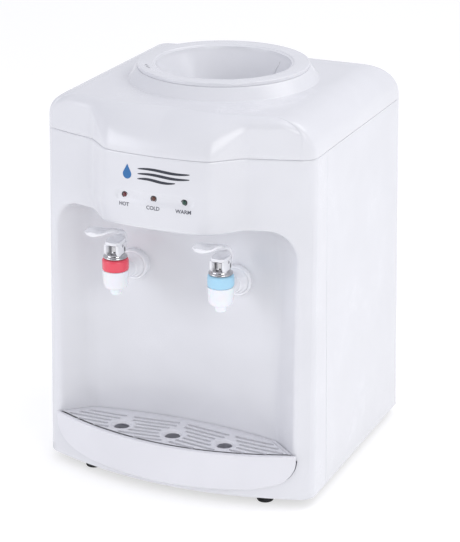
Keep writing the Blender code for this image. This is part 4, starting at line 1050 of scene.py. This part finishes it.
def fork(x0, name):
    """Two cheeks astride the neck, the cap over them and black ovals on their sides: painted shade for the pin's
    slots.
    """
    body = name + "_lever"
    outline = rounded([(TAP_Y - 9.4, PIVOT_Z + 2.4), (TAP_Y - 9.4, PIVOT_Z - 6.0),
                       (TAP_Y - 7.0, PIVOT_Z - 9.2), (TAP_Y + 1.0, PIVOT_Z - 10.2),
                       (TAP_Y + 6.0, PIVOT_Z - 9.0), (TAP_Y + 9.4, PIVOT_Z - 4.0),
                       (TAP_Y + 9.8, PIVOT_Z + 2.4)], (2.0, 3.0, 3.0, 3.0, 3.0), 5)
    middle = outline.mean(0)
    for cheek, mark in ((-1, "a"), (1, "b")):
        inner, outer = x0 + cheek * CHEEK_IN, x0 + cheek * CHEEK_OUT
        layers = [(inner, 0.96), (inner + cheek * 0.4, 1.0), (outer - cheek * 1.6, 1.0),
                  (outer - cheek * 0.5, 0.95), (outer, 0.86)]
        rings = [sheet(x, middle + (outline - middle) * s) for x, s in layers]
        adopt(loft(f"{name}_cheek_{mark}", rings, TAP_WHITE), body, "tap_white")
    angles = np.linspace(0, math.tau, 56, endpoint=False)
    c, s = np.cos(angles), np.sin(angles)
    a = np.sign(c) * np.abs(c) ** 0.5 * CHEEK_OUT
    b = np.sign(s) * np.abs(s) ** 0.5 * 10.0
    rings = []
    for scale, lift in ((0.9, 1.6), (0.98, 1.9), (1.0, 3.6), (0.99, 4.7), (0.94, 5.3),
                        (0.86, 5.0), (0.6, 3.6), (0.3, 2.9), (0.05, 2.8)):
        slope = 0.06 * b * scale * (lift > 3)
        rings.append(np.stack([x0 + a * scale, TAP_Y + 0.6 + b * scale,
                               PIVOT_Z + lift + slope], 1))
    adopt(loft(f"{name}_cap_top", rings, TAP_WHITE), body, "tap_white")
    # Black ovals laid on the cheeks: painted shade where the pin's slots would look dark inside.
    turn = np.linspace(0, math.tau, 24, endpoint=False)
    opening = np.stack([TAP_Y + 4.2 + 1.1 * np.cos(turn), PIVOT_Z - 4.5 + 2.6 * np.sin(turn)], 1)
    for cheek, mark in ((-1, "a"), (1, "b")):
        outer = x0 + cheek * (CHEEK_OUT + 0.03)
        rings = [sheet(outer - cheek * 0.5, opening), sheet(outer, opening)]
        adopt(loft(f"{name}_pin_slot_{mark}", rings, FINISHES["black_plastic"]), body,
              "tap_white")


for side, name, finish, slot in ((-1, "hot", HOT_RED, "hot_ring"),
                                 (1, "cold", COLD_BLUE, "cold_ring")):
    flange(side, name)
    tap_body(side, name)
    tap_ring(side, name, finish, slot)
    bonnet(side, name)
    paddle(side * TAP_X, name)
    fork(side * TAP_X, name)


# ---------------------------------------------------------------- drip tray and grill

def tray_front(x, back=0.0):
    return TRAY_FRONT_Y + (TRAY_END_Y - TRAY_FRONT_Y) * (x / TRAY_END_X) ** 2 + back


def tray_low(x):
    """Lower edge of the tray's face, which sweeps up in a quarter round at its ends."""
    reach = min(abs(x), TRAY_END_X)
    if reach < 112.5:
        return float(np.interp(reach, (0, 22, 44, 65, 87, 96, 105, 112.5),
                               (18, 18.1, 18.6, 19.4, 20.6, 22.0, 23.9, 26.3)))
    return 51 - 26 * math.sqrt(max(1 - ((reach - 104.5) / 26) ** 2, 0))


def tray_face():
    """Bowed front of the drip tray, its top edge rolled towards the grill."""
    quarter = 104.5 + 26 * np.sin(np.radians(np.linspace(18, 89, 26)))
    right = np.concatenate([np.linspace(0, 112, 90), quarter, [TRAY_END_X]])
    columns = np.concatenate([-right[:0:-1], right])
    low_lip, step_z = 1.2, GRILL_LOW_Z - 0.3
    rings = []
    for x in columns:
        tuck = max(0.0, abs(x) - TRAY_END_X + 1.2)
        front = tray_front(x) + 0.8 * tuck ** 2
        low, top = tray_low(x) + 0.3 * tuck, TRAY_TOP_Z - 0.5 * tuck
        rear = front_y(x, FOOT_Z) - 0.5
        inner = min(tray_front(x, 3.7), rear - 0.1)
        section = [(rear, low), (front + low_lip, low)]
        section += [(front, low + low_lip), (front, TRAY_TOP_Z - 6.5)]
        roll = rounded([(front, TRAY_TOP_Z - 6.5), (front + 0.1, top), (inner, top)], 7, 8)
        section += [tuple(p) for p in roll[1:]]
        section += [(inner, step_z), (rear, step_z)]
        rings.append([(x, y, z) for y, z in section])
    adopt(loft("tray_face", rings, TRAY_WHITE, smooth_angle=35), "drip_tray", "tray")


def tray_gap_strip():
    """Thin dark grey strip along the gap between the tray's face and the casing: painted shadow for the shade in
    that gap.
    """
    end_z = TRAY_TOP_Z - 8
    path = [(-TRAY_END_X, z) for z in np.linspace(end_z, 52, 4)]
    turn = np.radians(np.linspace(89, 18, 26))
    path += [(-104.5 - 26 * math.sin(a), 51 - 26 * math.cos(a)) for a in turn]
    path += [(x, tray_low(x)) for x in np.linspace(-111, 0, 70)]
    path = np.array(path + [(-x, z) for x, z in path[-2::-1]])
    along = np.gradient(path, axis=0)
    along /= np.linalg.norm(along, axis=1, keepdims=True)
    sections = []
    for (x, z), (ax, az) in zip(path, along):
        wall = front_y(x, z)
        sections.append([(x + az * out, wall + deep, z - ax * out) for out, deep in
                         ((-0.6, -0.42), (0.36, -0.42), (0.44, 0.5), (-0.6, 0.5))])
    # The dark grey of this strip is painted shadow standing in for the shade under the tray's face.
    adopt(loft("tray_gap_strip", sections, MARK_GREY), "housing", "black_plastic")


def tray_plan(shrink, back, front_half, count=60):
    """Tray seen from above: straight splayed sides, bowed back and bowed front."""
    half, back_x = ALCOVE_HALF_W - shrink, ALCOVE_BACK_X - shrink
    xs = np.linspace(0, front_half, count)
    front = [(x, tray_front(x, back)) for x in xs]
    side_y = max(ALCOVE_MOUTH_Y - shrink, front[-1][1] + 1)
    rear = [(x, alcove_back(x * ALCOVE_BACK_X / back_x) - shrink)
            for x in np.linspace(back_x, 0, 40)]
    right = front + [(half, side_y)] + rear
    return np.array(right + [(-x, y) for x, y in right[-2:0:-1]])


def tray_basin():
    """Basin under the grill, with the ledge that carries it."""
    def level(plan, z):
        return np.column_stack([plan, np.full(len(plan), z)])

    outer, ledge = tray_plan(0.9, 6.0, 122.0), tray_plan(3.3, 3.7, 121.0)
    basin = tray_plan(6.5, 8.0, 118.0)
    middle = basin.mean(0)
    step_z = GRILL_LOW_Z - 0.3
    rings = [level(outer, 27.0), level(outer, TRAY_TOP_Z - 0.5),
             level(outer * 0.997 + middle * 0.003, TRAY_TOP_Z), level(ledge, TRAY_TOP_Z),
             level(ledge, step_z), level(basin, step_z)]
    for turn in np.radians(np.linspace(0, 90, 6)):
        shrink = 1 - 0.06 * (1 - math.cos(turn))
        rings.append(level(middle + (basin - middle) * shrink, 36.0 - 6.0 * math.sin(turn)))
    rings.append(level(middle + (basin - middle) * 0.3, 29.6))
    adopt(loft("tray_basin", rings, TRAY_WHITE, smooth_angle=35), "drip_tray", "tray",
          "drip_tray")


GRILL_ROWS, GRILL_ROW_Y, GRILL_PITCH, GRILL_SLOT = 8, -95.5, 7.2, 3.6
DISH_R = 11.2


def slot_y(x, row):
    bow = np.sin(np.minimum(np.abs(x) / 100, 1) * math.pi / 2)
    return GRILL_ROW_Y - GRILL_PITCH * row - 9 * bow


def slot_lines():
    """Centre line of each slot: inside the border, clear of the ribs and of the holes."""
    lines = []
    xs = np.arange(-124, 124.25, 0.5)
    for row_index in range(GRILL_ROWS):
        ys = slot_y(xs, row_index)
        fits = (ys > tray_front(xs, 6.3)) & (np.abs(xs) < 101 - 1.11 * (ys + 104))
        for k in (-1, 0, 1):
            fits &= np.abs(xs - k * HOLE_X) > 3.0
            fits &= np.hypot(xs - k * HOLE_X, ys - HOLE_Y) > DISH_R + 2.4
        edges = np.flatnonzero(np.diff(np.concatenate([[0], fits.astype(int), [0]])))
        for first, last in edges.reshape(-1, 2):
            if last - first > 12:
                lines.append(np.stack([xs[first:last], ys[first:last]], 1))
    return lines


class Growth(Nodes):
    """A geometry node tree with named inputs."""

    def __init__(self, name, **inputs):
        self.tree = bpy.data.node_groups.new(name, "GeometryNodeTree")
        face = self.tree.interface
        face.new_socket("Geometry", in_out="INPUT", socket_type="NodeSocketGeometry")
        for label, (kind, value) in inputs.items():
            entry = face.new_socket(label.replace("_", " "), in_out="INPUT", socket_type=kind)
            if value is not None:
                entry.default_value = value
        face.new_socket("Geometry", in_out="OUTPUT", socket_type="NodeSocketGeometry")
        self.given = self.tree.nodes.new("NodeGroupInput").outputs

    def end(self, geometry, material):
        real = self.node("GeometryNodeRealizeInstances", None, {"Geometry": geometry})
        dressed = self.node("GeometryNodeSetMaterial", None,
                            {"Geometry": real.outputs[0], "Material": material})
        out = self.tree.nodes.new("NodeGroupOutput")
        self.tree.links.new(dressed.outputs[0], out.inputs[0])

    def grow(self, name, source, **values):
        """Runs the tree on an object and returns the result as a plain mesh object."""
        modifier = source.modifiers.new("grow", "NODES")
        modifier.node_group = self.tree
        sockets = {item.name: item.identifier for item in self.tree.interface.items_tree
                   if item.in_out == "INPUT"}
        for label, value in values.items():
            modifier[sockets[label.replace("_", " ")]] = value
        graph = bpy.context.evaluated_depsgraph_get()
        mesh = bpy.data.meshes.new_from_object(source.evaluated_get(graph))
        source.modifiers.remove(modifier)
        bpy.data.objects.remove(source)
        mesh.shade_smooth()
        mesh.set_sharp_from_angle(angle=math.radians(35))
        obj = bpy.data.objects.new(name, mesh)
        bpy.context.scene.collection.objects.link(obj)
        return obj


def bare(name, points, edges=(), faces=()):
    """Helper mesh in metres that a node tree reads; it isn't part of the object."""
    mesh = bpy.data.meshes.new(name)
    mesh.from_pydata([tuple(p) for p in np.asarray(points, float) * MM], list(edges), list(faces))
    obj = bpy.data.objects.new(name, mesh)
    bpy.context.scene.collection.objects.link(obj)
    return obj


def slot_tree(material):
    """Cuts slots along a set of lines and round openings at single points out of a plate."""
    cutting = Growth("slotted_plate", Lines=("NodeSocketObject", None),
                     Holes=("NodeSocketObject", None), Slot_Width=("NodeSocketFloat", 0.0036),
                     Cut_Depth=("NodeSocketFloat", 0.02), Hole_Radius=("NodeSocketFloat", 0.012))
    given, node = cutting.given, cutting.node
    lines = node("GeometryNodeObjectInfo", None, {"Object": given["Lines"]})
    curve = node("GeometryNodeMeshToCurve", None, {0: lines.outputs["Geometry"]})
    length = Value(cutting, node("GeometryNodeSplineLength").outputs["Length"])
    along = Value(cutting, node("GeometryNodeSplineParameter").outputs["Length"])
    radius = Value(cutting, given["Slot Width"]) * 0.5
    gone = 1.0 - ((length - along).least(along) / radius).least(1.0)
    girth = (1.03 - gone * gone).root()
    profile = node("GeometryNodeCurvePrimitiveQuadrilateral", None,
                   {"Width": given["Slot Width"], "Height": given["Cut Depth"]})
    cutter = node("GeometryNodeCurveToMesh", None,
                  {"Curve": curve.outputs[0], "Profile Curve": profile.outputs[0],
                   "Scale": girth, "Fill Caps": True})
    holes = node("GeometryNodeObjectInfo", None, {"Object": given["Holes"]})
    drum = node("GeometryNodeMeshCylinder", None,
                {"Vertices": 72, "Radius": given["Hole Radius"], "Depth": given["Cut Depth"]})
    drums = node("GeometryNodeInstanceOnPoints", None,
                 {"Points": holes.outputs["Geometry"], "Instance": drum.outputs["Mesh"]})
    solid = node("GeometryNodeRealizeInstances", None, {"Geometry": drums.outputs[0]})
    cut = node("GeometryNodeMeshBoolean", {"operation": "DIFFERENCE", "solver": "EXACT"},
               {"Mesh 1": given["Geometry"]})
    for tool in (solid, cutter):
        cutting.tree.links.new(tool.outputs[0], cut.inputs["Mesh 2"])
    cutting.end(cut.outputs["Mesh"], material)
    return cutting


def grill():
    """Slotted plate that lies in the tray, with a dished ring round each of its three holes."""
    plan = tray_plan(3.5, 3.82, 120.85)
    middle = plan.mean(0)
    low, top, ease = GRILL_LOW_Z, TRAY_TOP_Z, 0.4

    def level(inset, z):
        away = plan - middle
        pull = away / np.linalg.norm(away, axis=1, keepdims=True) * inset
        return np.column_stack([plan - pull, np.full(len(plan), z)])

    rings = [level(ease, low), level(0, low + ease), level(0, top - ease), level(ease, top)]
    rings = np.array(rings) + (0, SHIFT_Y, 0)
    count = len(plan)
    faces = loft_faces(4, count, False)
    faces += [tuple(range(count))[::-1], tuple(3 * count + k for k in range(count))]
    plate = bare("grill_blank", rings.reshape(-1, 3), faces=faces)
    outward(plate.data)
    points, edges = [], []
    for line in slot_lines():
        base = len(points)
        points += [(x, y + SHIFT_Y, top) for x, y in line]
        edges += [(base + k, base + k + 1) for k in range(len(line) - 1)]
    lines = bare("slot_lines", points, edges)
    holes = bare("hole_points", [(k * HOLE_X, HOLE_Y + SHIFT_Y, top) for k in (-1, 0, 1)])
    cut = slot_tree(TRAY_WHITE).grow("grill_plate", plate, Lines=lines, Holes=holes,
                                     Slot_Width=GRILL_SLOT * MM, Hole_Radius=DISH_R * MM)
    bpy.data.objects.remove(lines)
    bpy.data.objects.remove(holes)
    adopt(cut, "tray_grill", "tray", "tray_grill")
    for k in (-1, 0, 1):
        outer = DISH_R + 0.05
        dish = rounded([(outer, low), (outer, top), (outer - 0.6, top), (outer - 2.2, top - 0.9),
                        (HOLE_R + 0.8, low + 0.3), (HOLE_R, low - 0.4), (HOLE_R, low - 1.2),
                        (HOLE_R + 1.4, low - 1.2), (HOLE_R + 2.0, low - 0.2), (outer, low)],
                       (0.15, 0.3, 1.2, 1.0, 0.4, 0.2, 0.2, 0.4), 5)
        ring = turned(f"grill_hole_{k + 2}", dish[:-1], (k * HOLE_X, HOLE_Y, 0), "Z", TRAY_WHITE,
                      72)
        adopt(ring, "tray_grill", "tray")


tray_face()
tray_gap_strip()
tray_basin()
grill()


# ---------------------------------------------------------------- feet and screws

def foot(node):
    """Ribbed rubber foot with a soft lower edge."""
    low, high = span(node)
    x, y = (low[0] + high[0]) / 2, (low[1] + high[1]) / 2 - SHIFT_Y
    r, z0, z1 = (high[0] - low[0]) / 2, low[2], high[2]
    profile = [(0, z1), (r * 0.86, z1), (r * 0.9, z1 - 0.6)]
    for k in range(3):
        z = z1 - 1.4 - k * (z1 - z0 - 3.2) / 3
        profile += [(r * 0.95, z), (r * 0.9, z - 0.7)]
    profile += [(r * 0.98, z0 + 1.8), (r, z0 + 1.0), (r * 0.94, z0), (r * 0.5, z0),
                (r * 0.44, z0 + 0.8), (0, z0 + 0.8)]
    adopt(turned(f"{node}_pad", profile, (x, y, 0), "Z", FINISHES["black_rubber"], 64),
          "housing", "black_rubber", node)


for foot_node in ("foot_front_left", "foot_front_right", "foot_rear_left", "foot_rear_right"):
    foot(foot_node)


def screw_tree(material):
    """Pan-head screws with a cross recess, one on each face, facing along the face's normal."""
    fixing = Growth("cover_screws", Head_Radius=("NodeSocketFloat", 0.0036),
                    Head_Height=("NodeSocketFloat", 0.002), Seed=("NodeSocketInt", 7))
    given, node = fixing.given, fixing.node
    radius = Value(fixing, given["Head Radius"])
    height = Value(fixing, given["Head Height"])
    ball = node("GeometryNodeMeshUVSphere", None, {"Segments": 20, "Rings": 8, "Radius": radius})
    flat = node("ShaderNodeCombineXYZ", None, {0: 1.0, 1: 1.0, 2: height / radius})
    dome = node("GeometryNodeTransform", None,
                {"Geometry": ball.outputs["Mesh"], "Scale": flat.outputs[0]})
    recess = node("GeometryNodeMeshBoolean", {"operation": "DIFFERENCE", "solver": "EXACT"},
                  {"Mesh 1": dome.outputs[0]})
    long, thin = radius * 1.3, radius * 0.26
    for wide, deep in ((long, thin), (thin, long)):
        size = node("ShaderNodeCombineXYZ", None, {0: wide, 1: deep, 2: height})
        bar = node("GeometryNodeMeshCube", None, {"Size": size.outputs[0]})
        lift = node("ShaderNodeCombineXYZ", None, {2: height})
        raised = node("GeometryNodeTransform", None,
                      {"Geometry": bar.outputs["Mesh"], "Translation": lift.outputs[0]})
        fixing.tree.links.new(raised.outputs[0], recess.inputs["Mesh 2"])
    normal = node("GeometryNodeInputNormal")
    noted = node("GeometryNodeStoreNamedAttribute",
                 {"data_type": "FLOAT_VECTOR", "domain": "FACE"},
                 {"Geometry": given["Geometry"], "Name": "facing", "Value": normal.outputs[0]})
    middles = node("GeometryNodeMeshToPoints", {"mode": "FACES"}, {0: noted.outputs[0]})
    facing = node("GeometryNodeInputNamedAttribute", {"data_type": "FLOAT_VECTOR"},
                  {"Name": "facing"})
    upright = node("FunctionNodeAlignRotationToVector", {"axis": "Z"},
                   {"Vector": facing.outputs[0]})
    spin = node("FunctionNodeRandomValue", {"data_type": "FLOAT"},
                {2: 0.0, 3: 1.5, "Seed": given["Seed"]})
    about = node("ShaderNodeCombineXYZ", None, {2: spin.outputs[1]})
    turned_head = node("FunctionNodeRotateRotation", {"rotation_space": "LOCAL"},
                       {"Rotation": upright.outputs[0], "Rotate By": about.outputs[0]})
    heads = node("GeometryNodeInstanceOnPoints", None,
                 {"Points": middles.outputs[0], "Instance": recess.outputs["Mesh"],
                  "Rotation": turned_head.outputs[0]})
    fixing.end(heads.outputs[0], material)
    return fixing


def screws():
    """Screws that hold the back panel and the base pan."""
    spots = []
    rear_half = half_width(200) - BACK_LAP - 7
    for z in (28, 128, 228, 340):
        for side in (-1, 1):
            spots.append(((side * rear_half, back_y(z) + 0.1, z), (0, 1, 0)))
    for x in (-60, 60):
        for y in (-85, 85):
            spots.append(((x, y, span("base_pan")[0][2] - 0.05), (0, 0, -1)))
    points, faces = [], []
    for spot, normal in spots:
        spot, normal = np.array(spot, float) + (0, SHIFT_Y, 0), np.array(normal, float)
        a = np.cross(normal, (1, 0, 0))
        a = a / np.linalg.norm(a)
        b = np.cross(normal, a)
        base = len(points)
        points += [spot + 0.01 * (a * math.cos(t) + b * math.sin(t))
                   for t in (0, math.tau / 3, 2 * math.tau / 3)]
        faces.append((base, base + 1, base + 2))
    seats = bare("screw_seats", points, faces=faces)
    adopt(screw_tree(FINISHES["steel"]).grow("cover_screws", seats), "housing", "steel")


screws()


# ---------------------------------------------------------------- studio

CAMERA_AZ, CAMERA_EL, CAMERA_DISTANCE, CAMERA_LENS = 23.9, 20.6, 1970.7, 128.37
AIM = (7.5, 187.9)                        # to the right of and above the casing's origin


def floor_sweep():
    """Pale paper floor that curves up far behind the casing."""
    across, reach = 2600, np.linspace(-1, 1, 33)
    points = [(a * across, b * across, -0.3 + 900 * max(b - 0.4, 0) ** 2)
              for b in reach for a in reach]
    faces = [(i * 33 + j, i * 33 + j + 1, (i + 1) * 33 + j + 1, (i + 1) * 33 + j)
             for i in range(32) for j in range(32)]
    floor = bare("floor_sweep", points, faces=faces)
    floor.data.shade_smooth()
    paper = Finish("floor_paper", Specular_IOR_Level=0.1, Emission_Color=(1, 1, 1, 1),
                   Emission_Strength=0.62)
    fibre = paper.noise(600.0, 3.0)
    paper.colour(fibre, (0.46, 0.46, 0.47), (0.50, 0.50, 0.51))
    paper.feed("Roughness", 0.9 + fibre * 0.08)
    floor.data.materials.append(paper.material)


def surroundings():
    """Pale walls all round, darker on the side that the casing is looked at from."""
    world = bpy.data.worlds.new("studio_white")
    world.use_nodes = True
    sky = Nodes()
    sky.tree = world.node_tree
    backdrop = sky.tree.nodes["Background"]
    az = math.radians(CAMERA_AZ)
    around = sky.node("ShaderNodeTexCoord")
    toward = sky.node("ShaderNodeVectorMath", {"operation": "DOT_PRODUCT"},
                      {0: around.outputs["Generated"], 1: (math.sin(az), -math.cos(az), 0.1)})
    dim = sky.node("ShaderNodeMapRange", {"interpolation_type": "SMOOTHSTEP"},
                   {"Value": toward.outputs["Value"], "From Min": 0.70, "From Max": 0.92,
                    "To Min": 0.78, "To Max": 0.05})
    backdrop.inputs["Color"].default_value = (0.93, 0.935, 1.0, 1)
    sky.tree.links.new(dim.outputs["Result"], backdrop.inputs["Strength"])
    bpy.context.scene.world = world


def panel_lamp(name, spot, size, power, colour):
    """Square soft lamp that looks at the middle of the casing."""
    lamp = bpy.data.lights.new(name, "AREA")
    lamp.size, lamp.energy, lamp.color = size * MM, power, colour
    lamp_obj = bpy.data.objects.new(name, lamp)
    bpy.context.scene.collection.objects.link(lamp_obj)
    lamp_obj.location = place(spot)
    aim = Vector(place((0, 0, 200))) - lamp_obj.location
    lamp_obj.rotation_euler = aim.to_track_quat("-Z", "Y").to_euler()


def viewpoint():
    """Camera from the front right, a little above the casing."""
    az, el = math.radians(CAMERA_AZ), math.radians(CAMERA_EL)
    right = np.array((math.cos(az), math.sin(az), 0))
    back = np.array((math.sin(az) * math.cos(el), -math.cos(az) * math.cos(el), math.sin(el)))
    aim = right * AIM[0] + (0, 0, AIM[1])
    camera = bpy.data.cameras.new("camera")
    camera.lens, camera.sensor_width, camera.sensor_fit = CAMERA_LENS, 36.0, "AUTO"
    camera.clip_start, camera.clip_end = 0.1, 20
    eye = bpy.data.objects.new("camera", camera)
    bpy.context.scene.collection.objects.link(eye)
    turn = np.column_stack([right, np.cross(back, right), back])
    eye.matrix_world = (Matrix.Translation(place(aim + back * CAMERA_DISTANCE))
                        @ Matrix(turn.tolist()).to_4x4())
    bpy.context.scene.camera = eye
    bpy.context.scene.view_settings.view_transform = "Standard"


floor_sweep()
surroundings()
panel_lamp("key_panel", (1200, -1200, 800), 900, 9, (1.0, 0.995, 0.985))
panel_lamp("fill_panel", (-1350, -1450, 700), 1000, 8, (0.95, 0.955, 1.0))
panel_lamp("top_panel", (700, 500, 1500), 1000, 7, (1.0, 0.998, 0.99))
viewpoint()
